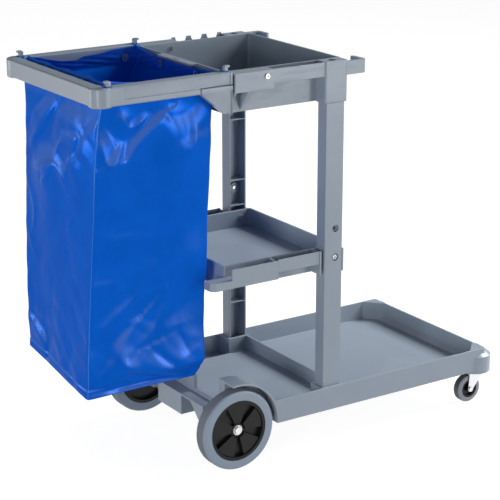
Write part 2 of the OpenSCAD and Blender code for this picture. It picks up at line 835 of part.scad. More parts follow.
// Faces of the bag as it hangs, by the share s of the way from the neck to the bottom
function bag_rear(s) = bag_x0 - bag_lean * pow(s, 0.3);
function bag_front(s) = bag_x1 - bag_draw * pow(s, 0.12);
function bag_side(s) = bag_y - bag_taper * pow(s, 0.7);

// One ring of the bag: a rounded rectangle as points, tilted across the cart
function bag_ring(x0, x1, y, r, z, tilt) = [
  for (q = [0 : 3], k = [0 : 5])
    let (a = q * 90 + k * 18,
         cx = (q == 0 || q == 3) ? x1 - r : x0 + r,
         cy = (q < 2) ? y - r : r - y,
         py = cy + r * sin(a))
      [cx + r * cos(a), py, z + tilt * py / y]
];

// Rings from the bottom up to the hem, drawn in by the inset
function bag_rings(inset, top) = concat(
  [for (s = [1, 0.98, 0.9, 0.7, 0.5, 0.3, 0.12, 0.03])
     let (d = inset + (s == 1 ? bag_tuck : 0),
          z = z_neck - s * bag_l + (s == 1 ? inset : 0))
       bag_ring(bag_rear(s) + d, bag_front(s) - d, bag_side(s) - d, bag_corner - inset, z, bag_tilt * s)],
  [for (z = [z_neck, top])
     bag_ring(bag_x0 + inset, bag_x1 - inset, bag_y - inset, bag_corner - inset, z, 0)]);

// Closed skin through a stack of rings
module bag_skin(rings) {
  n = len(rings[0]);
  m = len(rings);
  points = [for (ring = rings, p = ring) p];
  sides = [for (k = [0 : m - 2], i = [0 : n - 1]) each [
    [k * n + i, (k + 1) * n + i, (k + 1) * n + (i + 1) % n],
    [k * n + i, (k + 1) * n + (i + 1) % n, k * n + (i + 1) % n]]];
  polyhedron(points, concat(sides, [[for (i = [0 : n - 1]) i]],
                            [[for (i = [n - 1 : -1 : 0]) (m - 1) * n + i]]));
}

strip = 5;  // half width of the straps at the bag's corners

// Strap from a corner of the hem, up and over the frame, with an eye round a hook
module hem_tab(x, y, hook_x, hook_y) {
  eye_r = 10;
  half_x = hook_half + rest_gap;
  half_y = bag_hook_w / 2 + rest_gap;
  reach = norm([hook_x - x, hook_y - y]);
  box(x - strip, x + strip, y - strip, y + strip, z_hem - 2 * strip, z_frame_top + bag_t);
  difference() {
    translate([0, 0, z_frame_top]) linear_extrude(bag_t) {
      translate([hook_x, hook_y]) circle(eye_r);
      translate([x, y]) rotate(atan2(hook_y - y, hook_x - x))
        translate([0, -strip]) square([reach, 2 * strip]);
    }
    box(hook_x - half_x, hook_x + half_x, hook_y - half_y, hook_y + half_y,
        z_frame_top - over, z_frame_top + bag_t + over);
  }
}

// Grommet positions: two in each wall of the bag's mouth
z_grommet = (z_neck + z_hem) / 2;
grommet_inset = 36;
grommet_half = 82;

module at_grommets() {
  for (x = [bag_x0 + grommet_inset, bag_x1 - grommet_inset], side = [-1, 1])
    translate([x, side * (bag_y - bag_t / 2), z_grommet]) rotate([90, 0, 0]) children();
  for (x = [bag_x0 + bag_t / 2, bag_x1 - bag_t / 2], side = [-1, 1])
    translate([x, side * grommet_half, z_grommet]) rotate([0, 90, 0]) children();
}

barrel_t = 2;  // wall of a grommet's barrel
flange_t = 1.2;  // thickness of a grommet's flange

module refuse_bag() {
  corner = bag_corner * (1 - cos(45));
  color(blue) difference() {
    union() {
      difference() {
        bag_skin(bag_rings(0, z_hem));
        bag_skin(bag_rings(bag_t, z_hem + over));
      }
      both_sides() {
        hem_tab(bag_x0 + corner, bag_y - corner, hook_rear_x, hook_rear_y);
        hem_tab(bag_x1 - corner, bag_y - corner, hook_front_x, hook_front_y);
      }
    }
    at_grommets() cylinder(r = grommet_hole + barrel_t + slip_gap, h = 4 * bag_t, center = true);
  }
}

module bag_grommets() {
  reach = bag_t / 2 + slip_gap;
  color(zinc) at_grommets() rotate_extrude() {
    translate([grommet_hole, -reach - flange_t]) square([barrel_t, 2 * (reach + flange_t)]);
    for (z = [-reach - flange_t, reach])
      translate([grommet_hole, z]) square([grommet_r - grommet_hole, flange_t]);
  }
}

// Fasteners

// Bolt along Y: its head's seat and the shank's end are given from the centre line
module side_bolt(x, z, y_seat, y_end) {
  bar_y(x, z, y_end, y_seat, bolt_r);
  bar_y(x, z, y_seat, y_seat + bolt_head_h, bolt_head_r);
}

module side_nut(x, z, y_seat) {
  difference() {
    translate([x, y_seat, z]) rotate([90, 0, 0]) cylinder(r = bolt_head_r, h = bolt_head_h, $fn = 6);
    bar_y(x, z, y_seat - bolt_head_h - over, y_seat + over, bolt_r + slip_gap);
  }
}

y_bolt_end = y_body_in - bolt_head_h - over;  // bolts end just past their nuts

module shelf_bolts() {
  color(zinc) both_sides() side_bolt(x_hole, z_shelf_bolt, y_post_out - recess_d, y_bolt_end);
}

module shelf_nuts() {
  color(zinc) both_sides() side_nut(x_hole, z_shelf_bolt, y_body_in);
}

module frame_bolts() {
  color(zinc) both_sides() side_bolt(x_frame_bolt, z_frame_bolt, rail_half, y_bolt_end);
}

module frame_nuts() {
  color(zinc) both_sides() side_nut(x_frame_bolt, z_frame_bolt, y_body_in);
}

// Rear wheels

y_nut = y_boss_out + rest_gap;
y_hub_in = y_well + washer_t + rest_gap;
push_nut_r = 12.5;
push_collar_r = 9;

module rear_axle() {
  y_end = y_nut + push_nut_h - slip_gap;
  color(zinc) bar_y(x_axle, z_axle, -y_end, y_end, axle_r);
}

// Axis of the far rear wheel, with its outer side along local +Z
module at_axle() {
  translate([x_axle, 0, z_axle]) rotate([-90, 0, 0]) children();
}

module axle_washers() {
  color(zinc) both_sides() at_axle() translate([0, 0, y_well]) difference() {
    cylinder(r = push_nut_r, h = washer_t);
    translate([0, 0, -over]) cylinder(r = axle_r + slip_gap, h = washer_t + 2 * over);
  }
}

module axle_push_nuts() {
  disc_t = 1.5;
  color(zinc) both_sides() at_axle() translate([0, 0, y_nut]) difference() {
    union() {
      cylinder(r = push_nut_r, h = disc_t);
      cylinder(r1 = push_nut_r - over, r2 = push_collar_r, h = push_nut_h);
    }
    translate([0, 0, -over]) cylinder(r = axle_r + slip_gap, h = push_nut_h + 2 * over);
  }
}

// Hub: a rim, a web and a boss, with raised petals on its outer face
module far_rear_hub() {
  rim_t = 8;
  web_t = 10;
  boss_out = 17;
  petal_in = 20;
  petal_gap = 1.5;
  petal_out = hub_r - rim_t - petal_gap;
  petal_drop = 4;
  petal_turn = 20;
  y_mid = (y_wheel_in + y_wheel_out) / 2;
  color(black) at_axle() difference() {
    union() {
      rotate_extrude() {
        translate([hub_r - rim_t, y_wheel_in + over]) square([rim_t, tyre_w - 2 * over]);
        translate([axle_r, y_mid - web_t / 2]) square([hub_r - axle_r - over, web_t]);
        translate([axle_r, y_hub_in]) square([boss_out - axle_r, y_boss_out - y_hub_in]);
      }
      for (i = [0 : petals - 1]) rotate(i * 360 / petals - petal_turn - petal_angle / 2)
        translate([0, 0, y_mid]) rotate_extrude(angle = petal_angle)
          translate([petal_in, 0]) square([petal_out - petal_in, y_wheel_out - petal_drop - y_mid]);
    }
    translate([0, 0, y_hub_in - over]) cylinder(r = axle_r + run_gap, h = y_boss_out - y_hub_in + 2 * over);
  }
}

module near_rear_hub() {
  mirror([0, 1, 0]) far_rear_hub();
}

// Tyre section between two widths, with round shoulders
module tyre_section(r0, r1, z0, z1, shoulder) {
  translate([r0, z0]) square([r1 - r0 - shoulder, z1 - z0]);
  translate([r0, z0 + shoulder]) square([r1 - r0, z1 - z0 - 2 * shoulder]);
  for (z = [z0 + shoulder, z1 - shoulder]) translate([r1 - shoulder, z]) circle(shoulder);
}

module far_rear_tyre() {
  shoulder = 7;
  groove_w = 2;
  groove_d = 1.5;
  groove_n = 3;
  color(rubber) at_axle() rotate_extrude() difference() {
    tyre_section(hub_r, tyre_r, y_wheel_in, y_wheel_out, shoulder);
    for (i = [1 : groove_n])
      translate([tyre_r - groove_d, y_wheel_in + i * tyre_w / (groove_n + 1) - groove_w / 2])
        square([groove_d + over, groove_w]);
  }
}

module near_rear_tyre() {
  mirror([0, 1, 0]) far_rear_tyre();
}

// Casters

head_t = 2.5;  // thickness of the stem's riveted head
head_r = stem_r + 3.5;
cup_t = 1.6;  // thickness of the bearing cup

module far_caster_stem() {
  color(zinc) translate([x_boss, y_boss, z_fork - rest_gap - head_t]) {
    cylinder(r = stem_r, h = caster_h + stem_in - z_fork + rest_gap + head_t);
    cylinder(r = head_r, h = head_t);
  }
}

module far_caster_cup() {
  skirt_t = 2;
  z_skirt = z_fork_top + 2 * rest_gap;
  color(black) translate([x_boss, y_boss, 0]) difference() {
    translate([0, 0, z_skirt]) cylinder(r = cup_r, h = caster_h - z_skirt);
    translate([0, 0, z_skirt - over]) cylinder(r = cup_r - skirt_t, h = caster_h - cup_t - z_skirt + over);
    translate([0, 0, z_skirt]) cylinder(r = stem_r + slip_gap, h = caster_h);
  }
}

module far_caster_balls() {
  color(zinc) translate([x_boss, y_boss, z_fork_top + rest_gap + ball_r])
    for (i = [0 : ball_n - 1]) rotate(i * 360 / ball_n) translate([race_r, 0, 0]) sphere(r = ball_r);
}

crown_front = 17;  // reach of the fork's crown in front of the swivel axis
crown_rear = trail + 3.5;

// Fork cheek: wide at the crown and drawn in to an eye round the axle
module cheek_outline() {
  eye_r = 7.5;
  eye_turn = 43;
  crown_lip = 4;
  translate([-trail, cw_r]) circle(eye_r);
  polygon([[-trail - eye_r, cw_r], [-crown_rear, z_fork_top], [crown_front, z_fork_top],
           [crown_front, z_fork - crown_lip],
           [-trail + eye_r * cos(eye_turn), cw_r - eye_r * sin(eye_turn)], [-trail, cw_r]]);
}

module far_caster_fork() {
  color(zinc) translate([x_boss, y_boss, 0]) difference() {
    union() {
      translate([0, 0, z_fork]) linear_extrude(fork_t)
        round_rect(-crown_rear, crown_front, -fork_out, fork_out, fork_t);
      both_sides() along_y(fork_in, fork_out) cheek_outline();
    }
    translate([0, 0, z_fork - over]) cylinder(r = stem_r + run_gap, h = fork_t + 2 * over);
    bar_y(-trail, cw_r, -fork_out - over, fork_out + over, cw_axle_r + slip_gap);
  }
}

bolt_over = 5;  // how far the caster's bolt stands past its fork
cap_h = 3;  // height of the caster bolt's head
cap_r = cw_axle_r + 2.5;
nut_h = 4;
nut_r = cw_axle_r + 3;

module far_caster_bolt() {
  color(zinc) translate([x_cw, y_boss, cw_r]) {
    bar_y(0, 0, -fork_out - bolt_over, fork_out, cw_axle_r);
    bar_y(0, 0, fork_out, fork_out + cap_h, cap_r);
  }
}

module far_caster_nut() {
  color(zinc) translate([x_cw, y_boss - fork_out, cw_r]) difference() {
    rotate([90, 0, 0]) cylinder(r = nut_r, h = nut_h, $fn = 6);
    bar_y(0, 0, -bolt_over - over, over, cw_axle_r + slip_gap);
  }
}

// Axis of the far caster wheel, with its outer side along local +Z
module at_caster_axle() {
  translate([x_cw, y_boss, cw_r]) rotate([-90, 0, 0]) children();
}

module far_caster_hub() {
  rim_t = 5;
  web_t = 8;
  boss_out = 9;
  boss_half = fork_in - rest_gap;
  rim_half = cw_w / 2 - over;
  bore = cw_axle_r + run_gap;
  color(black) at_caster_axle() rotate_extrude() {
    translate([cw_hub_r - rim_t, -rim_half]) square([rim_t, 2 * rim_half]);
    translate([bore, -web_t / 2]) square([cw_hub_r - bore - over, web_t]);
    translate([bore, -boss_half]) square([boss_out - bore, 2 * boss_half]);
  }
}

module far_caster_tyre() {
  shoulder = 6;
  color(rubber) at_caster_axle() rotate_extrude()
    tyre_section(cw_hub_r, cw_r, -cw_w / 2, cw_w / 2, shoulder);
}

module near_caster_stem() { mirror([0, 1, 0]) far_caster_stem(); }
module near_caster_cup() { mirror([0, 1, 0]) far_caster_cup(); }
module near_caster_balls() { mirror([0, 1, 0]) far_caster_balls(); }
module near_caster_fork() { mirror([0, 1, 0]) far_caster_fork(); }
module near_caster_bolt() { mirror([0, 1, 0]) far_caster_bolt(); }
module near_caster_nut() { mirror([0, 1, 0]) far_caster_nut(); }
module near_caster_hub() { mirror([0, 1, 0]) far_caster_hub(); }
module near_caster_tyre() { mirror([0, 1, 0]) far_caster_tyre(); }

base_platform();
near_post();
far_post();
middle_shelf();
top_tray();
handle_frame();
refuse_bag();
bag_grommets();
shelf_bolts();
shelf_nuts();
frame_bolts();
frame_nuts();
rear_axle();
axle_washers();
axle_push_nuts();
near_rear_hub();
near_rear_tyre();
far_rear_hub();
far_rear_tyre();
near_caster_stem();
near_caster_cup();
near_caster_balls();
near_caster_fork();
near_caster_bolt();
near_caster_nut();
near_caster_hub();
near_caster_tyre();
far_caster_stem();
far_caster_cup();
far_caster_balls();
far_caster_fork();
far_caster_bolt();
far_caster_nut();
far_caster_hub();
far_caster_tyre();
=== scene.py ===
# %% [markdown]
# # Dressing a janitor cart
# The cart arrives as finished solids: a moulded platform, posts, a shelf, a tray, a handle frame,
# wheels and casters. The solids fix every size and every joint. This lesson gives them their looks:
# softened mould edges, grained plastic, rubber, plated steel, and a hanging vinyl bag.

import math

import bmesh
import bpy
import numpy as np
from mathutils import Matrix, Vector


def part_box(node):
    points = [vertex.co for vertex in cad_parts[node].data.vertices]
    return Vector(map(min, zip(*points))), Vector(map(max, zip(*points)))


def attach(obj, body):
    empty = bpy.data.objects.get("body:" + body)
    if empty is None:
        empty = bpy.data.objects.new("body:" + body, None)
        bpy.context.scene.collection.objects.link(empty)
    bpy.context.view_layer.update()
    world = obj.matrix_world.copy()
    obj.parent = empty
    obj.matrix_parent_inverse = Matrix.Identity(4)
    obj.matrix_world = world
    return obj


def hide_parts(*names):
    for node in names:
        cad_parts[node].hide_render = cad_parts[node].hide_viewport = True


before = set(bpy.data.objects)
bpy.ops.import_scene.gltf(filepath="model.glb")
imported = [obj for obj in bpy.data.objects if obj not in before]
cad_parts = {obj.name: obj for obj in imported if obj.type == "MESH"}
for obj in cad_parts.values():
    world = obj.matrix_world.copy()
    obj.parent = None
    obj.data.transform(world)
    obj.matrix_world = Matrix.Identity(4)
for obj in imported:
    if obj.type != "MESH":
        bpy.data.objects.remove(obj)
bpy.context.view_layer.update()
MM = 0.001

# %% [markdown]
# ## Camera
# The picture was taken with a long lens from beyond the cart's near rear corner, well above the handle.
# A long lens keeps the near and far posts almost the same size. The place below comes from matching
# corners of the platform, the posts and the frame.

# %% Camera at the picture's view
from mathutils import Vector

CAMERA_AT = Vector((-2.3396, -3.4864, 1.7681))
LOOK_AT = Vector((-0.02095, 0.02166, 0.46047))


def add_object(name, data):
    """A new object in the scene."""
    thing = bpy.data.objects.new(name, data)
    bpy.context.scene.collection.objects.link(thing)
    return thing


def aim(thing, place, target):
    """Put a camera or a lamp at a place and turn it to a target."""
    thing.location = place
    thing.rotation_euler = (Vector(target) - Vector(place)).to_track_quat("-Z", "Y").to_euler()


camera = add_object("camera", bpy.data.cameras.new("camera"))
camera.data.lens = 123.47
camera.data.sensor_width = 36
aim(camera, CAMERA_AT, LOOK_AT)
bpy.context.scene.camera = camera
bpy.context.scene.view_settings.view_transform = "Standard"
print("camera distance in metres:", round((LOOK_AT - CAMERA_AT).length, 3))

# %% [markdown]
# ## Floor and studio light
# The cart stands on a white sweep that runs out of the frame. A diffuse floor alone turns grey, so rays
# that look at it, straight or mirrored, also see a glow; that keeps it white and still lets the shadow
# show. The light is plain and soft. The big lamp hangs high in front of the cart, so floors and rims are
# bright while inner walls that face the camera stay dark; two low lamps to the camera's left and right
# light the outer faces. A weak fourth stands low behind the cart, so that the faces turned away aren't
# lost in shade.

# %% Floor
def deselect_all():
    bpy.ops.object.select_all(action="DESELECT")


FLOOR_SIZE = 60.0
deselect_all()
bpy.ops.mesh.primitive_plane_add(size=FLOOR_SIZE, location=(0, 0, 0))
floor = bpy.context.active_object
floor.name = "studio_floor"
print("floor side in metres:", FLOOR_SIZE)

# %% White sweep material
FLOOR_GLOW, LIT_TONE, SEEN_TONE = 0.93, 0.55, 0.24


def add_node(tree, kind, inputs=(), **settings):
    """A new node in a tree, with its settings and the values of some inputs filled in."""
    made = tree.nodes.new(kind)
    for name, value in settings.items():
        setattr(made, name, value)
    for name, value in dict(inputs).items():
        made.inputs[name].default_value = value
    return made


def join(source, output, target, name):
    """Link an output of one node to an input of another."""
    source.id_data.links.new(source.outputs[output], target.inputs[name])


sweep = bpy.data.materials.new("white_sweep")
sweep.use_nodes = True
tree = sweep.node_tree
tree.nodes.clear()
matte = add_node(tree, "ShaderNodeBsdfDiffuse", {"Color": (LIT_TONE, LIT_TONE, LIT_TONE, 1)})
pale = add_node(tree, "ShaderNodeBsdfDiffuse", {"Color": (SEEN_TONE, SEEN_TONE, SEEN_TONE, 1)})
glow = add_node(tree, "ShaderNodeEmission", {"Strength": FLOOR_GLOW})
seen = add_node(tree, "ShaderNodeAddShader")
rays = add_node(tree, "ShaderNodeLightPath")
either = add_node(tree, "ShaderNodeMath", operation="MAXIMUM")
any_view = add_node(tree, "ShaderNodeMath", operation="MAXIMUM")
swap = add_node(tree, "ShaderNodeMixShader")
out = add_node(tree, "ShaderNodeOutputMaterial")
join(pale, 0, seen, 0)
join(glow, 0, seen, 1)
join(rays, "Is Camera Ray", either, 0)
join(rays, "Is Glossy Ray", either, 1)
join(either, 0, any_view, 0)
join(rays, "Is Transmission Ray", any_view, 1)
join(any_view, 0, swap, 0)
join(matte, 0, swap, 1)
join(seen, 0, swap, 2)
join(swap, 0, out, "Surface")
floor.data.materials.append(sweep)
print("floor material:", sweep.name, "glow:", FLOOR_GLOW)

# %% World and lamps
SKY_TINT, SKY_STRENGTH = (0.93, 0.97, 1.0, 1), 0.13
world = bpy.data.worlds.new("studio")
bpy.context.scene.world = world
world.use_nodes = True
sky = world.node_tree.nodes["Background"]
sky.inputs["Color"].default_value = SKY_TINT
sky.inputs["Strength"].default_value = SKY_STRENGTH


def softbox(name, place, target, size, watts):
    """A rectangular lamp at a place, turned to a target."""
    data = bpy.data.lights.new(name, "AREA")
    data.shape = "RECTANGLE"
    data.size, data.size_y = size
    data.energy = watts
    aim(add_object(name, data), place, target)


HEART = (0.0, 0.0, 0.5)
softbox("front", (3.3, -0.4, 3.0), HEART, (2.0, 2.0), 250)
softbox("left", (-3.2, -2.1, 0.95), HEART, (0.8, 1.1), 50)
softbox("right", (2.0, -3.4, 0.75), HEART, (1.0, 1.3), 35)
softbox("behind", (-2.9, 2.2, 0.7), HEART, (0.9, 1.0), 24)

# %% [markdown]
# ## Shared surface effects
# Most of the cart is moulded plastic or rubber. Up close such a skin has a fine spark-eroded grain
# and faint cloudy tone where the melt cooled unevenly. Both are one node group, placed in each
# material with its own scale. A second group gives the dull streaks that handling and mopping leave.

# %% Node group: moulded grain
def new_group(name, inputs, outputs):
    """A node group of numbers, with its input and output nodes; inputs come with their values."""
    group = bpy.data.node_groups.new(name, "ShaderNodeTree")
    for title, value in inputs.items():
        socket = group.interface.new_socket(title, in_out="INPUT", socket_type="NodeSocketFloat")
        socket.default_value = value
    for title in outputs:
        group.interface.new_socket(title, in_out="OUTPUT", socket_type="NodeSocketFloat")
    return group, add_node(group, "NodeGroupInput"), add_node(group, "NodeGroupOutput")


moulded_grain, given, result = new_group("moulded_grain", {"Grain Scale": 900.0, "Cloud Scale": 9.0},
                                         ["Height", "Cloud"])
place = add_node(moulded_grain, "ShaderNodeTexCoord")
grain = add_node(moulded_grain, "ShaderNodeTexNoise", {"Detail": 3})
cloud = add_node(moulded_grain, "ShaderNodeTexNoise", {"Detail": 4, "Roughness": 0.6})
join(place, "Object", grain, "Vector")
join(place, "Object", cloud, "Vector")
join(given, "Grain Scale", grain, "Scale")
join(given, "Cloud Scale", cloud, "Scale")
join(grain, 0, result, "Height")
join(cloud, 0, result, "Cloud")
print("group:", moulded_grain.name, "outputs:", [s.name for s in result.inputs if s.name])

# %% Node group: handling marks
handling_marks, given, result = new_group("handling_marks", {"Scale": 14.0, "Stretch": 6.0}, ["Mask"])
place = add_node(handling_marks, "ShaderNodeTexCoord")
stretch = add_node(handling_marks, "ShaderNodeCombineXYZ", {"X": 1, "Y": 1})
drawn = add_node(handling_marks, "ShaderNodeVectorMath", operation="MULTIPLY")
streak = add_node(handling_marks, "ShaderNodeTexNoise", {"Detail": 5})
limits = add_node(handling_marks, "ShaderNodeMapRange", {"From Min": 0.52, "From Max": 0.72})
join(given, "Stretch", stretch, "Z")
join(place, "Object", drawn, 0)
join(stretch, 0, drawn, 1)
join(drawn, 0, streak, "Vector")
join(given, "Scale", streak, "Scale")
join(streak, 0, limits, "Value")
join(limits, 0, result, "Mask")
print("group:", handling_marks.name, "outputs:", [s.name for s in result.inputs if s.name])

# %% [markdown]
# ## Plastic and rubber
# The structural pieces are one cool grey. A material here mixes two close tones by the cloud mask,
# raises the roughness where the marks are, and reads the grain as bump. The black hubs and the
# tyres use the same recipe with other numbers; the hubs shine less, so that they stay black.

# %% Recipe for a moulded skin
def new_material(name, inputs):
    """A material, its node tree and its surface node, with the values of some inputs filled in."""
    material = bpy.data.materials.new(name)
    material.use_nodes = True
    skin = material.node_tree.nodes["Principled BSDF"]
    for title, value in inputs.items():
        skin.inputs[title].default_value = value
    return material, material.node_tree, skin


def moulded_material(name, tone, deep_tone, roughness, dull, grain_scale, grain_depth, shine=0.45):
    """Two-tone plastic or rubber with grain, cloud and handling marks."""
    material, tree, skin = new_material(name, {"Specular IOR Level": shine})
    effect = add_node(tree, "ShaderNodeGroup", {"Grain Scale": grain_scale}, node_tree=moulded_grain)
    marks = add_node(tree, "ShaderNodeGroup", node_tree=handling_marks)
    colour = add_node(tree, "ShaderNodeMix", {"A": (*deep_tone, 1), "B": (*tone, 1)}, data_type="RGBA")
    gloss = add_node(tree, "ShaderNodeMapRange", {"To Min": roughness, "To Max": dull})
    relief = add_node(tree, "ShaderNodeBump", {"Distance": grain_depth, "Strength": 0.6})
    join(effect, "Cloud", colour, "Factor")
    join(colour, "Result", skin, "Base Color")
    join(marks, "Mask", gloss, "Value")
    join(gloss, "Result", skin, "Roughness")
    join(effect, "Height", relief, "Height")
    join(relief, "Normal", skin, "Normal")
    return material


print("recipe uses the groups:", moulded_grain.name, handling_marks.name)

# %% Plastics and rubbers of the cart
grey_plastic = moulded_material("grey_plastic", (0.295, 0.345, 0.410), (0.250, 0.300, 0.362),
                                0.30, 0.44, 1100, 0.00012)
black_plastic = moulded_material("black_plastic", (0.009, 0.009, 0.010), (0.005, 0.005, 0.006),
                                 0.32, 0.46, 900, 0.0001, shine=0.25)
tread_rubber = moulded_material("tread_rubber", (0.205, 0.220, 0.250), (0.165, 0.178, 0.205),
                                0.55, 0.72, 700, 0.00015)
wall_rubber = moulded_material("wall_rubber", (0.265, 0.325, 0.405), (0.232, 0.288, 0.362),
                               0.45, 0.6, 700, 0.00012)
caster_rubber = moulded_material("caster_rubber", (0.275, 0.285, 0.325), (0.235, 0.245, 0.285),
                                 0.45, 0.6, 700, 0.00012)
dark_rubber = moulded_material("dark_rubber", (0.085, 0.090, 0.100), (0.065, 0.070, 0.078),
                               0.5, 0.66, 700, 0.00012)
print("moulded skins:", [m.name for m in bpy.data.materials if m.name.endswith(("plastic", "rubber"))])

# %% [markdown]
# ## Plated steel
# Bolts, the axle, the caster forks and the grommets are zinc plated. Plating is a metal with a
# slightly uneven gloss, so the roughness follows a fine noise and the colour stays near white.

# %% Zinc
def plated_material(name, tone, roughness, dull):
    """Bright plated metal with cloudy gloss."""
    material, tree, skin = new_material(name, {"Base Color": (*tone, 1), "Metallic": 1})
    effect = add_node(tree, "ShaderNodeGroup", {"Cloud Scale": 120}, node_tree=moulded_grain)
    gloss = add_node(tree, "ShaderNodeMapRange", {"To Min": roughness, "To Max": dull})
    join(effect, "Cloud", gloss, "Value")
    join(gloss, "Result", skin, "Roughness")
    return material


zinc_steel = plated_material("zinc_steel", (0.72, 0.73, 0.75), 0.16, 0.42)
bolt_steel = plated_material("bolt_steel", (0.50, 0.51, 0.53), 0.20, 0.45)
grommet_steel = plated_material("grommet_steel", (0.80, 0.80, 0.82), 0.25, 0.50)
print("metals:", zinc_steel.name, bolt_steel.name, grommet_steel.name)

# %% [markdown]
# ## Softened mouldings
# Injection moulded plastic never has a knife edge: every corner has about a millimetre of radius,
# and that thin bright line along each edge is what makes plastic read as plastic. Each grey solid is
# copied, its loose triangles are merged back into flat faces, and a bevel rounds the sharp edges.
# A flat face can't have a hole in it, so an area with holes is cut through each hole first.
# Edges that are too short, that border a face narrower than about twice the radius, or that have another
# corner close beside them stay as they are: a bevel there would run past its neighbours and leave spikes.

# %% Flat areas and their outlines
FLAT, NO_ANGLE = math.radians(0.5), math.pi


def clusters(items, beside):
    """Lists of items that hang together; beside gives the neighbours of an item."""
    seen, found = set(), []
    for first in items:
        if first in seen:
            continue
        seen.add(first)
        group, queue = [], [first]
        while queue:
            item = queue.pop()
            group.append(item)
            for other in beside(item):
                if other not in seen:
                    seen.add(other)
                    queue.append(other)
        found.append(group)
    return found


def flat_groups(work):
    """Lists of touching faces that lie in one plane, not reaching across a seam."""
    def level(face):
        return [other for e in face.edges if not e.seam for other in e.link_faces
                if face.normal.angle(other.normal, NO_ANGLE) < FLAT]
    return clusters(work.faces, level)


def rims(group):
    """The separate outlines of a group: one for each hole, and last the outer rim."""
    inside = set(group)
    border = [e for f in group for e in f.edges if sum(g in inside for g in e.link_faces) == 1]
    at_vertex = {}
    for e in border:
        for v in e.verts:
            at_vertex.setdefault(v, []).append(e)
    outlines = clusters(border, lambda e: [other for v in e.verts for other in at_vertex[v]])
    outlines = [np.array([v.co.copy() for e in outline for v in e.verts]) for outline in outlines]
    return sorted(outlines, key=lambda points: np.ptp(points, axis=0).sum())


print("faces closer than", round(math.degrees(FLAT), 2), "degrees count as flat")

# %% Join the triangles of flat areas
ON_PLANE, STEEP = 1e-6, 0.7


def cut_faces(work, faces, place, across):
    """Cut some faces along a plane; gives the cut faces and the new edges."""
    parts = list(dict.fromkeys(item for f in faces for item in (*f.verts, *f.edges, f)))
    cut = bmesh.ops.bisect_plane(work, geom=parts, dist=ON_PLANE, plane_co=place, plane_no=across)
    return ([item for item in cut["geom"] if isinstance(item, bmesh.types.BMFace)],
            [item for item in cut["geom_cut"] if isinstance(item, bmesh.types.BMEdge)])


def merge_flats(work):
    """Join the triangles of each flat area; an area with holes is first cut through each hole."""
    for group in flat_groups(work):
        across = Vector((1, 0, 0)) if abs(group[0].normal.x) < STEEP else Vector((0, 1, 0))
        for hole in rims(group)[:-1]:
            group, edges = cut_faces(work, group, hole.mean(axis=0), across)
            for e in edges:
                e.seam = True
    for group in flat_groups(work):
        if len(group) > 1:
            bmesh.ops.dissolve_faces(work, faces=group, use_verts=True)


print("helpers for flat areas:", cut_faces.__name__, merge_flats.__name__)

# %% Choose the edges to round
SHARP = math.radians(32)
ROOM, ELBOW_ROOM = 2.2, 1.5


def crowded(e, radius):
    """Whether a corner of a neighbouring face lies so close beside an edge that a bevel would cross it."""
    start = e.verts[0].co
    along = e.verts[1].co - start
    for v in {v for f in e.link_faces for v in f.verts} - set(e.verts):
        share = (v.co - start).dot(along) / along.length_squared
        beside = (v.co - start - along * share).length
        if 0.001 < share < 0.999 and beside < ELBOW_ROOM * radius:
            return True
    return False


def within(v, box):
    """Whether a corner lies in a box given in millimetres, on either side of the cart."""
    place = (v.co.x / MM, abs(v.co.y) / MM, v.co.z / MM)
    return all(low <= c <= high for low, c, high in zip(box[::2], place, box[1::2]))


def weigh_edges(work, radius, plain):
    """Give a bevel weight to each sharp edge that has room for the radius and lies in no plain box."""
    room = ROOM * radius
    weight = work.edges.layers.float.new("bevel_weight_edge")
    width = {f: 2 * f.calc_area() / sum(e.calc_length() for e in f.edges) for f in work.faces}
    for e in work.edges:
        wide = all(width[f] > room for f in e.link_faces)
        sharp = len(e.link_faces) == 2 and e.calc_face_angle() > SHARP
        spared = any(all(within(v, box) for v in e.verts) for box in plain)
        if sharp and wide and e.calc_length() > room and not spared and not crowded(e, radius):
            e[weight] = 1


print("edges sharper than", round(math.degrees(SHARP)), "degrees are rounded")

# %% Copy a solid and cut it
WELD = 2e-6


def make_active(piece):
    deselect_all()
    piece.select_set(True)
    bpy.context.view_layer.objects.active = piece


def skin_of(node, body):
    """A copy of a solid, shown in the solid's place."""
    piece = add_object(node + "_skin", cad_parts[node].data.copy())
    make_active(piece)
    bpy.ops.object.mode_set(mode="EDIT")
    bpy.ops.mesh.select_all(action="SELECT")
    bpy.ops.mesh.remove_doubles(threshold=WELD)
    bpy.ops.mesh.dissolve_degenerate(threshold=WELD)
    bpy.ops.mesh.customdata_custom_splitnormals_clear()
    bpy.ops.object.mode_set(mode="OBJECT")
    piece.data.materials.clear()
    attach(piece, body)
    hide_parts(node)
    return piece


def carve(piece, tool, operation):
    """Take a tool away from a piece, or join it on; the tool is used up."""
    make_active(piece)
    work = piece.modifiers.new("carve", "BOOLEAN")
    work.object = tool
    work.operation = operation
    work.solver = "EXACT"
    bpy.ops.object.modifier_apply(modifier=work.name)
    bpy.data.objects.remove(tool)


print("corners closer than", WELD, "metres are welded")

# %% Round the edges of a copy
MOULD_SEGMENTS, SMOOTH_UP_TO = 2, math.radians(38)


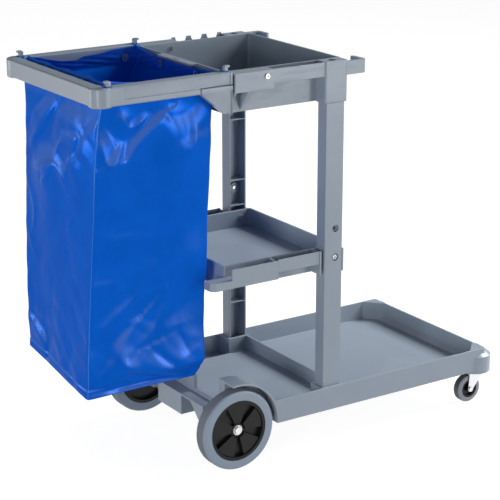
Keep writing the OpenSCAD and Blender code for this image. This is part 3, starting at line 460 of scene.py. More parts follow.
def softened(node, radius, tools, plain):
    """A copy of a grey solid, worked with the given tools, with rounded edges outside the plain boxes."""
    piece = skin_of(node, "cart")
    for tool, operation in tools:
        carve(piece, tool, operation)
    work = bmesh.new()
    work.from_mesh(piece.data)
    merge_flats(work)
    weigh_edges(work, radius, plain)
    work.to_mesh(piece.data)
    work.free()
    edge = piece.modifiers.new("edge", "BEVEL")
    edge.limit_method = "WEIGHT"
    edge.width = radius
    edge.segments = MOULD_SEGMENTS
    edge.use_clamp_overlap = False
    bpy.ops.object.modifier_apply(modifier=edge.name)
    bpy.ops.object.shade_smooth_by_angle(angle=SMOOTH_UP_TO)
    even = piece.modifiers.new("even", "WEIGHTED_NORMAL")
    even.keep_sharp = True
    bpy.ops.object.modifier_apply(modifier=even.name)
    piece.data.materials.append(grey_plastic)
    return piece


print("a rounded edge has", MOULD_SEGMENTS, "segments")

# %% [markdown]
# ## Diagonal corners, set-back rails and shadow joints
# A few forms are worked into the copies with blocks. A flat diagonal wall closes each front corner of
# the platform, with the caster's socket hidden behind it. The shallow part of a side rail lies a little
# behind the deep part. Where the handle frame laps the tray, a moulder leaves a groove, so that two
# pieces that never fit perfectly meet in a clean dark line. Blocks are quick to place by their corners,
# and a boolean then cuts them out or joins them on; all of them are given in millimetres.

# %% Blocks that cut and fill
def block(low, high):
    """A box between two corners given in millimetres."""
    deselect_all()
    bpy.ops.mesh.primitive_cube_add(size=1)
    tool = bpy.context.active_object
    tool.location = [(a + b) / 2 * MM for a, b in zip(low, high)]
    tool.scale = [abs(b - a) * MM for a, b in zip(low, high)]
    bpy.ops.object.transform_apply(location=True, rotation=True, scale=True)
    return tool


def slice_off(tool, place, away):
    """Cut a tool along a plane and drop the part on the side that the direction points to."""
    make_active(tool)
    bpy.ops.object.mode_set(mode="EDIT")
    bpy.ops.mesh.select_all(action="SELECT")
    bpy.ops.mesh.bisect(plane_co=[c * MM for c in place], plane_no=Vector(away).normalized(),
                        use_fill=True, clear_outer=True)
    bpy.ops.object.mode_set(mode="OBJECT")


print("helpers for tools:", block.__name__, slice_off.__name__)

# %% Front corners of the platform
BAY_X, BAY_Y, WALL_X, WALL_Y = 440, 130, 555, 237.5
DECK_FLOOR, DECK_RIM, COVE, CLEAR_ABOVE = 106, 156, 12, 9
DIAGONAL, CORNER_BLOCK_X, CORNER_BLOCK_Y = 44, 465, 140
BITE, SINK, RIM_RISE, BEHIND_FACE = 1, 3, 0.5, 0.4
SOCKET_X, SOCKET_Y, SOCKET_TOP, SOCKET_BORE, SOCKET_LENGTH = 550, 208.5, 128, 5.8, 60


def socket_pin(side):
    """A rod that keeps the caster's socket open through the corner."""
    deselect_all()
    middle = (SOCKET_X * MM, side * SOCKET_Y * MM, (SOCKET_TOP - SOCKET_LENGTH / 2) * MM)
    bpy.ops.mesh.primitive_cylinder_add(vertices=32, radius=SOCKET_BORE * MM, depth=SOCKET_LENGTH * MM,
                                        location=middle)
    bpy.ops.object.transform_apply(location=True, rotation=True, scale=True)
    return bpy.context.active_object


def corner_tools(side):
    """A cut that clears the bay in front of the diagonal wall, and the wall itself."""
    clear = block((BAY_X, side * BAY_Y, DECK_FLOOR), (WALL_X, side * WALL_Y, DECK_RIM + CLEAR_ABOVE))
    slice_off(clear, (WALL_X, 0, DECK_FLOOR + COVE), (1, 0, -1))
    slice_off(clear, (WALL_X - DIAGONAL + BEHIND_FACE, side * WALL_Y, 0), (1, side, 0))
    wall = block((CORNER_BLOCK_X, side * CORNER_BLOCK_Y, DECK_FLOOR - SINK),
                 (WALL_X + BITE, side * (WALL_Y + BITE), DECK_RIM + RIM_RISE))
    slice_off(wall, (WALL_X - DIAGONAL, side * WALL_Y, 0), (-1, -side, 0))
    carve(wall, socket_pin(side), "DIFFERENCE")
    return [(clear, "DIFFERENCE"), (wall, "UNION")]


tools = {"base_platform": corner_tools(-1) + corner_tools(1)}
print("tools for the platform:", len(tools["base_platform"]))

# %% Rails and joints
RAIL_FACE, SET_BACK, PAST = 234, 2, 2
SHELF_RAIL_X, SHELF_RAIL_Z = (-107, 16), (480, 520)
TRAY_RAIL_X, TRAY_RAIL_Z = (-122, 26), (940, 992)
ARM_FACE, ARM_END, LEDGE_END, LAP_Z = 230, -232, -319, 959
GUSSET_X, GUSSET_Z, GUSSET_SET_BACK = (LEDGE_END - 2, -234), (880, 948), 6
GROOVE, LAP_DEPTH, END_DEPTH = 2.2, 7, 9
ARM_TOP, LEDGE_LOW, ARM_PAST = 1000, 940, 4


def both_sides(x, y, z):
    """The same cut on the near and the far side; x, y and z are each a lowest and a highest place."""
    cuts = []
    for side in (-1, 1):
        cuts.append((block((x[0], side * y[0], z[0]), (x[1], side * y[1], z[1])), "DIFFERENCE"))
    return cuts


rail_cut = (RAIL_FACE - SET_BACK, RAIL_FACE + PAST)
gusset_cut = (ARM_FACE - GUSSET_SET_BACK, ARM_FACE + PAST)
lap_cut = (ARM_FACE - LAP_DEPTH, ARM_FACE + ARM_PAST)
end_cut = (ARM_FACE - END_DEPTH, ARM_FACE + ARM_PAST)
lap_groove = (LAP_Z - 1, LAP_Z + 2)
tools["middle_shelf"] = both_sides(SHELF_RAIL_X, rail_cut, SHELF_RAIL_Z)
tools["top_tray"] = both_sides(TRAY_RAIL_X, rail_cut, TRAY_RAIL_Z)
tools["top_tray"] += both_sides(GUSSET_X, gusset_cut, GUSSET_Z)
tools["handle_frame"] = both_sides((LEDGE_END, ARM_END + BITE), lap_cut, lap_groove)
tools["handle_frame"] += both_sides((ARM_END - GROOVE, ARM_END + BITE), end_cut, (LAP_Z, ARM_TOP))
tools["handle_frame"] += both_sides((LEDGE_END - GROOVE, LEDGE_END + BITE), end_cut,
                                    (LEDGE_LOW, lap_groove[1]))
print("tools:", {node: len(cuts) for node, cuts in tools.items()})

# %% [markdown]
# ## Rounding the grey mouldings
# A few edges meet a small step in the middle of their run. A bevel on only part of such an edge folds
# the face beside it over itself, which renders as a black wedge. The boxes below name those edges, and
# they stay plain. Each box is its lowest and highest X, distance from the middle plane, and Z.

# %% Soften the grey mouldings
MOULD_RADIUS = 1.3 * MM
PLAIN = {
    "middle_shelf": [(-113, -106, 197, 235, 480, 520), (15, 23, 197, 236, 475, 520),
                     (-250, 30, 197.5, 198.5, 513, 515)],
    "top_tray": [(-123, -121, 196, 240, 938, 990)],
}
for node in ("base_platform", "near_post", "far_post", "middle_shelf", "top_tray", "handle_frame"):
    skin = softened(node, MOULD_RADIUS, tools.get(node, ()), PLAIN.get(node, ()))
    print(skin.name, "faces:", len(skin.data.polygons))

# %% [markdown]
# ## Plated parts and hubs
# The small parts and the black hubs keep their solids: a better material is all they need.

# %% Paint the small solids
def paint(node, material):
    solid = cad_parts[node]
    solid.data.materials.clear()
    solid.data.materials.append(material)


plated = ["shelf_nuts", "frame_nuts", "rear_axle", "axle_washers", "axle_push_nuts"]
for side in ("near", "far"):
    plated += [f"{side}_caster_{part}" for part in ("stem", "balls", "fork", "bolt", "nut")]
    for part in ("rear_hub", "caster_hub", "caster_cup"):
        paint(f"{side}_{part}", black_plastic)
for node in plated:
    paint(node, zinc_steel)
paint("bag_grommets", grommet_steel)
print("plated solids:", plated)

# %% [markdown]
# ## Bolt heads
# A bolt head without its socket reads as a button. The flat end of each head is taken off and filled
# again as a ring round a six-sided hole, and the hole gets walls and a floor. By hand this is an inset and
# an extrude; in code the hole's six sides are worked out at the angle of each point of the round rim.

# %% A six-sided hole in a flat end
KEY_RADIUS, KEY_DEPTH, KEY_TURN = 3.4 * MM, 2.4 * MM, 7.0
SIXTH = math.pi / 3
ENDWAYS, ON_END = 0.99, 1e-5


def sink_socket(work, end):
    """Give the head whose flat end lies at this Y a six-sided hole."""
    cap = [f for f in work.faces
           if abs(f.normal.y) > ENDWAYS and abs(f.calc_center_median().y - end) < ON_END]
    middle = sum((v.co for f in cap for v in f.verts), Vector()) / sum(len(f.verts) for f in cap)
    outline = list({v for f in cap for v in f.verts})
    outline.sort(key=lambda v: math.atan2(v.co.z - middle.z, v.co.x - middle.x))
    bmesh.ops.delete(work, geom=cap, context="FACES_ONLY")
    inward = Vector((0, -math.copysign(KEY_DEPTH, end), 0))
    inner = []
    for v in outline:
        turn = math.atan2(v.co.z - middle.z, v.co.x - middle.x)
        reach = KEY_RADIUS * math.cos(SIXTH / 2) / math.cos((turn + KEY_TURN) % SIXTH - SIXTH / 2)
        spot = Vector((middle.x + reach * math.cos(turn), end, middle.z + reach * math.sin(turn)))
        inner.append((work.verts.new(spot), work.verts.new(spot + inward)))
    for k in range(len(outline)):
        (a, b), (c, d) = inner[k - 1], inner[k]
        work.faces.new((outline[k - 1], outline[k], c, a))
        work.faces.new((a, c, d, b))
    work.faces.new([b for a, b in inner])


print("hole from corner to corner in millimetres:", round(2 * KEY_RADIUS / MM, 1))

# %% Sink a socket into each bolt head
TURNED_SMOOTH = math.radians(30)


def smooth_turned(piece, *materials):
    """Smooth shading for a turned part, and its materials."""
    make_active(piece)
    bpy.ops.object.shade_smooth_by_angle(angle=TURNED_SMOOTH)
    for material in materials:
        piece.data.materials.append(material)


def socketed(node):
    """A copy of a pair of bolts with a socket in each head."""
    piece = skin_of(node, "cart")
    low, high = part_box(node)
    work = bmesh.new()
    work.from_mesh(piece.data)
    for end in (low.y, high.y):
        sink_socket(work, end)
    bmesh.ops.recalc_face_normals(work, faces=work.faces[:])
    work.to_mesh(piece.data)
    work.free()
    smooth_turned(piece, bolt_steel)
    return piece


for node in ("shelf_bolts", "frame_bolts"):
    bolts = socketed(node)
    print(bolts.name, "faces:", len(bolts.data.polygons))

# %% [markdown]
# ## Rear tyres
# The rear tyres are moulded rubber: a smooth side wall, and a darker running face with fine grooves
# around it. The running face is cut into narrow rings, and every groove's floor is drawn in a little.

# %% Groove the tyres
GROOVES, GROOVE_PITCH, GROOVE_HALF, GROOVE_DEPTH = 7, 3.4 * MM, 0.55 * MM, 0.8 * MM
TREAD_CROWN, TREAD_TILT, GROOVE_FLOOR = 1 * MM, 0.3, 1.2 * GROOVE_HALF


def grooved_tyre(side):
    """A copy of a rear tyre with a darker, grooved running face."""
    piece = skin_of(f"{side}_rear_tyre", f"{side}_rear_wheel")
    low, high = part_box(f"{side}_rear_tyre")
    hub_x, hub_z, middle = (low.x + high.x) / 2, (low.z + high.z) / 2, (low.y + high.y) / 2
    tread = (high.x - low.x) / 2 - TREAD_CROWN
    work = bmesh.new()
    work.from_mesh(piece.data)

    def running(face):
        spot = face.calc_center_median()
        return math.hypot(spot.x - hub_x, spot.z - hub_z) > tread and abs(face.normal.y) < TREAD_TILT

    starts = [middle + (i - (GROOVES - 1) / 2) * GROOVE_PITCH for i in range(GROOVES)]
    for start in starts:
        for offset in (-2 * GROOVE_HALF, -GROOVE_HALF, GROOVE_HALF, 2 * GROOVE_HALF):
            cut_faces(work, [f for f in work.faces if running(f)], (0, start + offset, 0), (0, 1, 0))
    for face in work.faces:
        face.material_index = 1 if running(face) else 0
        face.smooth = True
    for v in work.verts:
        reach = math.hypot(v.co.x - hub_x, v.co.z - hub_z)
        if reach > tread and min(abs(v.co.y - start) for start in starts) < GROOVE_FLOOR:
            share = 1 - GROOVE_DEPTH / reach
            v.co.x = hub_x + (v.co.x - hub_x) * share
            v.co.z = hub_z + (v.co.z - hub_z) * share
    work.to_mesh(piece.data)
    work.free()
    smooth_turned(piece, wall_rubber, tread_rubber)
    return piece


for side in ("near", "far"):
    tyre = grooved_tyre(side)
    print(tyre.name, "faces:", len(tyre.data.polygons))

# %% [markdown]
# ## Caster tyres
# The small tyres have the same two tones: the running face is darker than the walls.

# %% Two tones on the caster tyres
CASTER_TREAD_TILT = 0.5
for side in ("near", "far"):
    tyre = skin_of(f"{side}_caster_tyre", f"{side}_caster_wheel")
    for face in tyre.data.polygons:
        face.material_index = 1 if abs(face.normal.y) < CASTER_TREAD_TILT else 0
    smooth_turned(tyre, caster_rubber, dark_rubber)
    print(tyre.name, "dark faces:", sum(face.material_index for face in tyre.data.polygons))

# %% [markdown]
# ## Blue vinyl
# The bag is coated fabric: a saturated blue with a soft sheen and no sharp mirror image. A strong
# reflection would show each lamp as a hard spot, so the shader reflects little, and a crinkle at two
# scales breaks up what is left. The sheen is mostly painted: where a slope faces up, as if it caught the
# light above, a value named pale mixes in a lighter blue. The piping is the same vinyl, a shade lighter.

# %% Vinyl colour and gloss
blue_vinyl, tree, skin = new_material("blue_vinyl", {"Specular IOR Level": 0.012, "Metallic": 0.10,
                                                     "Specular Tint": (0.30, 0.50, 1.0, 1)})
cloth = add_node(tree, "ShaderNodeGroup", {"Grain Scale": 420, "Cloud Scale": 16}, node_tree=moulded_grain)
tone = add_node(tree, "ShaderNodeMix", {"A": (0.002, 0.088, 0.50, 1), "B": (0.004, 0.128, 0.68, 1)},
                data_type="RGBA")
smear = add_node(tree, "ShaderNodeGroup", {"Scale": 10, "Stretch": 1.5}, node_tree=handling_marks)
gloss = add_node(tree, "ShaderNodeMapRange", {"To Min": 0.18, "To Max": 0.30})
# pale is a painted highlight: a lighter blue mixed in where the sheet faces up
painted_sheen = add_node(tree, "ShaderNodeAttribute", attribute_name="pale")
painted_sheen_mix = add_node(tree, "ShaderNodeMix", {"B": (0.070, 0.190, 0.68, 1)}, data_type="RGBA")
join(cloth, "Cloud", tone, "Factor")
join(tone, "Result", painted_sheen_mix, "A")
join(painted_sheen, "Fac", painted_sheen_mix, "Factor")
join(painted_sheen_mix, "Result", skin, "Base Color")
join(smear, "Mask", gloss, "Value")
join(gloss, "Result", skin, "Roughness")
print("vinyl reads the value:", painted_sheen.attribute_name)

# %% Crinkle in the vinyl, and the piping's lighter shade
at = add_node(tree, "ShaderNodeTexCoord")
crinkle = add_node(tree, "ShaderNodeTexNoise", {"Scale": 46, "Detail": 2})
soft = add_node(tree, "ShaderNodeBump", {"Distance": 0.0012, "Strength": 0.45})
fine = add_node(tree, "ShaderNodeBump", {"Distance": 0.00012, "Strength": 0.5})
join(at, "Object", crinkle, "Vector")
join(crinkle, 0, soft, "Height")
join(soft, "Normal", fine, "Normal")
join(cloth, "Height", fine, "Height")
join(fine, "Normal", skin, "Normal")
piping_vinyl = blue_vinyl.copy()
piping_vinyl.name = "piping_vinyl"
for name, shade in (("A", (0.035, 0.17, 0.62, 1)), ("B", (0.06, 0.24, 0.78, 1))):
    piping_vinyl.node_tree.nodes[tone.name].inputs[name].default_value = shade
print("vinyl materials:", blue_vinyl.name, piping_vinyl.name)

# %% [markdown]
# ## The bag's hanging shape
# The bag hangs by its corners inside the handle frame. Its mouth is a rounded rectangle; below the
# frame the vinyl belly leans back towards the handle and draws in towards the bottom. That is a
# stack of rings, so the sheet is lofted in code: one row per height, one column per step around.
# Each wall is a function of s, which is 0 at the neck and 1 at the bottom edge. The front and far walls
# tuck in right below the frame, and the front wall curls back at its foot.

# %% The four walls
FRAME_TOP, NECK_Z, BAG_LENGTH = 989 * MM, 943.5 * MM, 686 * MM
MOUTH_REAR, MOUTH_FRONT, MOUTH_HALF = -556.5 * MM, -241.5 * MM, 196.5 * MM
LEAN, LEAN_CURVE, TAPER, TAPER_CURVE = 28 * MM, 0.45, 28 * MM, 0.7
TUCK_IN, TUCK_LENGTH, TUCK_CURVE, DRAW = 26 * MM, 0.05, 0.5, 22 * MM
FAR_TUCK, FAR_TUCK_LENGTH, FAR_TUCK_CURVE, FAR_DRAW = 19 * MM, 0.06, 0.6, 14 * MM
CURL, CURL_START = 18 * MM, 0.93


def rear_wall(s):
    return MOUTH_REAR - LEAN * s ** LEAN_CURVE


def front_wall(s):
    tuck = TUCK_IN * min(1, s / TUCK_LENGTH) ** TUCK_CURVE
    curl = CURL * (max(0, s - CURL_START) / (1 - CURL_START)) ** 2
    return MOUTH_FRONT - tuck - DRAW * s - curl


def near_wall(s):
    return -MOUTH_HALF + TAPER * s ** TAPER_CURVE


def far_wall(s):
    tuck = FAR_TUCK * min(1, s / FAR_TUCK_LENGTH) ** FAR_TUCK_CURVE
    return MOUTH_HALF - tuck - FAR_DRAW * s ** 2


bottom = (front_wall(1) - rear_wall(1), far_wall(1) - near_wall(1))
print("bottom of the bag in metres:", np.round(bottom, 3).tolist())

# %% Rings around the bag
CORNER, SEAM_COLUMNS = 8 * MM, 1.5
NEAR_COLUMNS, END_COLUMNS, HIDDEN_COLUMNS, ARC_COLUMNS = 84, 96, 54, 8
SIDES = (NEAR_COLUMNS, HIDDEN_COLUMNS, HIDDEN_COLUMNS, END_COLUMNS)


def ring(x0, x1, y0, y1, radius):
    """Points round the near, front, far and rear side, their outward directions, and which are corners."""
    corners = [(x1 - radius, y0 + radius, -90), (x1 - radius, y1 - radius, 0),
               (x0 + radius, y1 - radius, 90), (x0 + radius, y0 + radius, 180)]
    points, outward, seam = [], [], []
    for k, columns in enumerate(SIDES):
        start, end = corners[k - 1], corners[k]
        direction = math.radians(end[2])
        out_x, out_y = math.cos(direction), math.sin(direction)
        for i in range(columns):
            share = (i + 0.5) / columns
            points.append((start[0] + (end[0] - start[0]) * share + radius * out_x,
                           start[1] + (end[1] - start[1]) * share + radius * out_y))
            outward.append((out_x, out_y))
            seam.append(0.0)
        for i in range(ARC_COLUMNS):
            turn = math.radians(end[2] + 90 * (i + 0.5) / ARC_COLUMNS)
            points.append((end[0] + radius * math.cos(turn), end[1] + radius * math.sin(turn)))
            outward.append((math.cos(turn), math.sin(turn)))
            seam.append(math.exp(-((i + 0.5 - ARC_COLUMNS / 2) / SEAM_COLUMNS) ** 2))
    return np.array(points), np.array(outward), np.array(seam)


print("columns around the bag:", len(ring(-1, 1, -1, 1, 0.1)[0]))

# %% [markdown]
# ## Folds in the vinyl
# Handled vinyl folds along lines: a ridge where two slack areas meet, a step where one area hangs
# over another. Each fold is a short list of points on a face of the bag, drawn as a smooth curve.
# The sheet is pushed out by a profile of the distance to that curve, fading at both ends. A slack area
# that swells over a wider patch is a bulge. A cloth simulation folds where its own forces say, while a
# drawn fold stays where the picture shows it. After its points a fold gives its height and width in
# millimetres, and a step also how far it reaches.

# %% Distance to a fold line
def smooth_line(points, steps=7):
    """A smooth curve through a few points, in metres."""
    p = np.array(points, float) * MM
    p = np.vstack([2 * p[0] - p[1], p, 2 * p[-1] - p[-2]])
    curve = []
    for i in range(1, len(p) - 2):
        for t in np.linspace(0, 1, steps, endpoint=False):
            curve.append(0.5 * (2 * p[i] + (p[i + 1] - p[i - 1]) * t
                                + (2 * p[i - 1] - 5 * p[i] + 4 * p[i + 1] - p[i + 2]) * t ** 2
                                + (3 * p[i] - p[i - 1] - 3 * p[i + 1] + p[i + 2]) * t ** 3))
    return np.array(curve + [p[-2]])


def fold_distance(points, a, b):
    """Signed distance from (a, b) to a fold, left of it positive, and the share of the way along."""
    curve = smooth_line(points)
    legs = np.diff(curve, axis=0)
    lengths = np.hypot(legs[:, 0], legs[:, 1])
    nearest = np.full(a.shape, 1e9)
    signed, share, run = np.zeros_like(a), np.zeros_like(a), 0.0
    for start, leg, length in zip(curve[:-1], legs, lengths):
        t = np.clip(((a - start[0]) * leg[0] + (b - start[1]) * leg[1]) / length ** 2, 0, 1)
        da, db = a - start[0] - t * leg[0], b - start[1] - t * leg[1]
        distance = np.hypot(da, db)
        closer = distance < nearest
        nearest = np.where(closer, distance, nearest)
        signed = np.where(closer, np.sign(leg[0] * db - leg[1] * da) * distance, signed)
        share = np.where(closer, (run + t * length) / lengths.sum(), share)
        run += length
    return signed, share


print("a curve through 3 points has", len(smooth_line([(0, 0), (10, 5), (20, 0)])), "points")

# %% Ridges, steps and bulges
CREST = 2.5 * MM
END_SHARE, END_FADE = 0.04, 0.6


def smooth(t):
    """A soft start and a soft stop between 0 and 1."""
    return t ** 2 * (3 - 2 * t)


def fading(share):
    """Full height along the middle of a fold, little at its ends."""
    return np.sin(np.pi * np.clip(share, END_SHARE, 1 - END_SHARE)) ** END_FADE


def ridge(points, height, width, a, z):
    """A crest along a fold; a negative height makes a valley."""
    d, share = fold_distance(points, a, z)
    return height * MM * fading(share) * np.exp(-np.hypot(d, CREST) / (width * MM))


def step(points, height, width, reach, a, z):
    """The left side of a fold lifted over its right side."""
    d, share = fold_distance(points, a, z)
    return height * MM * fading(share) * np.tanh(d / (width * MM)) * np.exp(-(d / (reach * MM)) ** 2)


def bulge(middle, reach, top, peak, foot, height, a, z):
    """A slack area that swells from its top down to its peak and falls back below."""
    rise = np.clip((top - z / MM) / (top - peak), 0, 1)
    fall = np.clip((peak - z / MM) / (peak - foot), 0, 1)
    return height * MM * smooth(rise) * (1 - smooth(fall)) * np.exp(-((a / MM - middle) / reach) ** 2)


def folds(ridges, steps, bulges, a, z):
    """How far all folds of a face push it out, in metres."""
    push = sum(ridge(*fold, a, z) for fold in ridges)
    push = push + sum(step(*fold, a, z) for fold in steps)
    return push + sum(bulge(*fold, a, z) for fold in bulges)


print("a crest 10 mm wide keeps this share of its height:", round(math.exp(-CREST / (10 * MM)), 2))

# %% Folds on the near face, as X and Z in millimetres
FLAP = [(-386, 912), (-436, 877), (-472, 844), (-496, 810), (-534, 803)]
POUCH = [(-460, 412), (-504, 363), (-502, 318), (-466, 292), (-310, 246)]
NEAR_RIDGES = [
    ([(-516, 928), (-488, 884), (-426, 917)], 9.1, 13.5),
    (FLAP, 11.7, 16.5),
    ([(-564, 872), (-558, 834), (-546, 806), (-526, 815), (-502, 860)], 7.8, 12),
    ([(-312, 872), (-324, 824), (-346, 812)], 5.2, 12),
    ([(-572, 631), (-536, 628), (-408, 609)], 2.86, 10.5),
    ([(-594, 514), (-562, 515), (-520, 517)], 2.86, 10.5),
    ([(-408, 564), (-452, 488), (-538, 422), (-596, 398)], 6.5, 30),
    ([(-562, 411), (-460, 412)], 3.9, 10.5),
    (POUCH, 10.4, 13.5),
    ([(-396, 510), (-386, 460), (-408, 408), (-438, 366), (-478, 345)], 5.2, 13.5),
    ([(-430, 345), (-382, 296), (-324, 253)], -7.8, 13.5),
    ([(-356, 389), (-350, 352), (-328, 306)], -7.8, 21),
    ([(-598, 371), (-556, 277)], 3.25, 7.5),
]
NEAR_STEPS = [
    (FLAP, 6, 14.4, 60),
    (POUCH, 7.5, 14.4, 67.5),
    ([(-604, 268), (-516, 261), (-300, 246)], 1.8, 3.6, 21),
]
NEAR_BULGES = [
    (-345, 75, 935, 815, 560, 17),
    (-350, 80, 455, 285, 252, 22),
    (-500, 40, 380, 300, 255, 9),
    (-538, 42, 905, 805, 690, 13),
    (-320, 55, 660, 540, 440, 9),
]
print("folds on the near face:", len(NEAR_RIDGES) + len(NEAR_STEPS) + len(NEAR_BULGES))

# %% Folds on the end face, as Y and Z in millimetres
DRAPE, TURN = [(5, 922), (65, 859), (153, 776)], [(167, 358), (86, 320), (70, 280)]
END_RIDGES = [
    (DRAPE, 6, 9),
    ([(59, 752), (3, 772), (-32, 758), (-62, 736)], 6, 8),
    ([(3, 772), (59, 752), (127, 745)], 6, 8),
    ([(3, 772), (-6, 804), (-29, 833)], 6, 8),
    ([(3, 772), (33, 739), (74, 710)], 5, 8),
    ([(-27, 860), (-114, 864), (-98, 819), (-41, 788)], -7, 16),
    ([(-123, 870), (-45, 742)], 4, 8),
    ([(174, 713), (119, 638), (146, 551)], 5, 10),
    ([(180, 609), (121, 519)], 4, 9),
    ([(-78, 668), (-68, 629), (-85, 612)], 3, 7),
    (TURN, 5, 9),
    ([(50, 372), (4, 328), (-47, 276)], 4, 10),
]
END_STEPS = [
    (DRAPE, 3, 8, 36),
    (TURN, 3, 8, 36),
]
END_BULGES = [(-105, 70, 938, 850, 640, 14), (40, 80, 815, 740, 560, 9)]
print("folds on the end face:", len(END_RIDGES) + len(END_STEPS) + len(END_BULGES))

# %% [markdown]
# ## Slack between the folds
# Between the drawn folds the vinyl is never flat. Slow waves make it belly a little on all faces, and a
# crumple of crossing creases shows near the neck and the bottom, where the sheet is loosest. Both are sums
# of sines, so they come out the same on every run. The hem at the mouth sags between the hooks, and its
# height is a short list of places for each side.

# %% Hem heights
NEAR_HEM = [(-556, 995), (-530, 994), (-500, 989), (-460, 985), (-242, 984)]
FRONT_HEM = [(-200, 985), (-150, 981), (-84, 977), (-16, 976), (84, 977), (126, 981), (175, 988),
             (200, 989)]
FAR_HEM = [(-556, 990), (-530, 990), (-498, 981), (-458, 972), (-418, 970), (-398, 978), (-362, 979),
           (-320, 985), (-268, 989), (-246, 989)]
REAR_HEM = [(-197, 995), (-150, 993), (-112, 997), (-60, 991), (-15, 996), (40, 990), (92, 996),
            (140, 992), (197, 996)]


def facing(outward, x, y):
    """How squarely points face a direction, squared: round a corner two faces' shares add up to one."""
    return np.clip(outward[:, 0] * x + outward[:, 1] * y, 0, 1) ** 2


def between(hem, place):
    """Height on a hem at a place along it, in metres."""
    places, heights = np.array(hem).T
    return MM * np.interp(place / MM, places, heights)


def hem_height(x, y, outward):
    """Height of the hem around the mouth, in metres."""
    return (facing(outward, 0, -1) * between(NEAR_HEM, x) + facing(outward, -1, 0) * between(REAR_HEM, y)
            + facing(outward, 0, 1) * between(FAR_HEM, x) + facing(outward, 1, 0) * between(FRONT_HEM, y))


print("lowest place of the hem in millimetres:", min(height for place, height in FAR_HEM))

# %% Creases and slow waves
BENDS_ALONG = [(0.030, 0, 17, 1), (0.012, 41, -29, 2)]
BENDS_DOWN = [(0.026, 19, 0, 1.7), (0.012, 23, 37, 1)]
CREASES = [(4.4, 24, 15, 1, 0.15), (3.6, -20, 31, 2.3, 0.15), (0.7, 57, 49, 1.1, 0.1)]
MEAN_CREASE = 5
SLOW_WAVES = [(1.8, 19, 4, 0), (1.4, -13, 11, 1.3), (0.9, 37, 9, 0.4)]
LENGTHWAYS = 0.7


def wave_sum(waves, a, b, seed):
    """Sum of waves, each a size, radians per metre along and down, and a phase that the seed scales."""
    return sum(size * np.sin(along * a + down * b + phase * seed) for size, along, down, phase in waves)


def crumple(a, b, seed):
    """Crossing creases in a loose sheet, in metres, along lines that slow waves have bent."""
    bent_a = a + wave_sum(BENDS_ALONG, a, b, seed)
    bent_b = b + wave_sum(BENDS_DOWN, a, b, seed)
    height = -MEAN_CREASE
    for size, along, down, phase, crest in CREASES:
        height = height + size * np.hypot(np.sin(along * bent_a + down * bent_b + phase * seed), crest)
    return MM * height


def slow_waves(x, y, z):
    """Broad slack in the sheet, in metres."""
    return MM * wave_sum(SLOW_WAVES, x * LENGTHWAYS - y, z, 1)


print("creases:", len(CREASES), "slow waves:", len(SLOW_WAVES))

# %% [markdown]
# ## Lofting the sheet
# The rows run from the hem down to the neck, on to the bottom edge, and then across the bottom. At the
# mouth the hem rolls inwards and small pleats gather below it, but the sheet stays flat round each
# grommet, where it is punched. On the body each point is pushed out by the folds of the face that it lies
# on, weighted by how squarely it faces that way, so folds die out round the corners. The upright corners
# carry a welt of piping, and a step marks the hem at the foot.

# %% Grommets: where the sheet stays flat and is punched
GROMMET_Z, GROMMET_INSET, GROMMET_HALF = 960.7 * MM, 36 * MM, 82 * MM
CALM, FREE, PUNCH = 11 * MM, 26 * MM, 7 * MM


def to_grommet(x, y, z, outward):
    """Steps along the wall and up to the nearest grommet of the same wall."""
    side_wall = np.abs(outward[:, 1]) > np.abs(outward[:, 0])
    middle = (MOUTH_REAR + MOUTH_FRONT) / 2
    reach = (MOUTH_FRONT - MOUTH_REAR) / 2 - GROMMET_INSET
    along = np.where(side_wall, x - middle - np.sign(x - middle) * reach, y - np.sign(y) * GROMMET_HALF)
    return along, z - GROMMET_Z, side_wall


print("grommet height in metres:", GROMMET_Z, "hole radius:", PUNCH)

# %% Rows of the mouth
HEM_ROLL, MOUTH_DIP, PLEAT = 9 * MM, 3 * MM, 4.5 * MM
PLEAT_WAVES, PLEAT_TURN, PLEAT_SLANT = 52, 1.3, 9
HOLE_HEART, HOLE_RIM = 0.3, 1.25


def mouth_row(k):
    """A ring of the mouth, from the neck at k = 0 to the hem at 1, and its columns in a grommet's hole."""
    xy, outward = ring(MOUTH_REAR, MOUTH_FRONT, -MOUTH_HALF, MOUTH_HALF, CORNER)[:2]
    x, y = xy.T
    z = NECK_Z + (hem_height(x, y, outward) - NECK_Z) * k
    along, up, side_wall = to_grommet(x, y, z, outward)
    distance = np.hypot(along, up)
    away = smooth(np.clip((distance - CALM) / (FREE - CALM), 0, 1))
    waves = (0.5 + 0.5 * k) * slow_waves(x, y, z) - MOUTH_DIP * (1 - k) * k
    pleats = np.abs(np.sin(PLEAT_WAVES * (x + PLEAT_TURN * y) + PLEAT_SLANT * k))
    waves -= PLEAT * (1 - abs(2 * k - 1)) * pleats
    inward = away * (np.minimum(waves, 0) - HEM_ROLL * k ** 3)
    rim = (distance > HOLE_HEART * PUNCH) & (distance < HOLE_RIM * PUNCH)
    moved = np.where(rim, PUNCH / np.maximum(distance, 1e-9), 1) - 1
    x = x + np.where(side_wall, along * moved, 0)
    y = y + np.where(side_wall, 0, along * moved)
    row = np.column_stack([np.column_stack([x, y]) + outward * inward[:, None], z + up * moved])
    return row, np.flatnonzero(distance < HOLE_RIM * PUNCH)


MOUTH_ROWS = 15
rows, holes = [], set()
for r, k in enumerate(np.linspace(1, 0, MOUTH_ROWS, endpoint=False)):
    row, punched = mouth_row(k)
    rows.append(row)
    holes.update((r, c) for c in punched)
print("rows of the mouth:", len(rows), "points in holes:", len(holes))

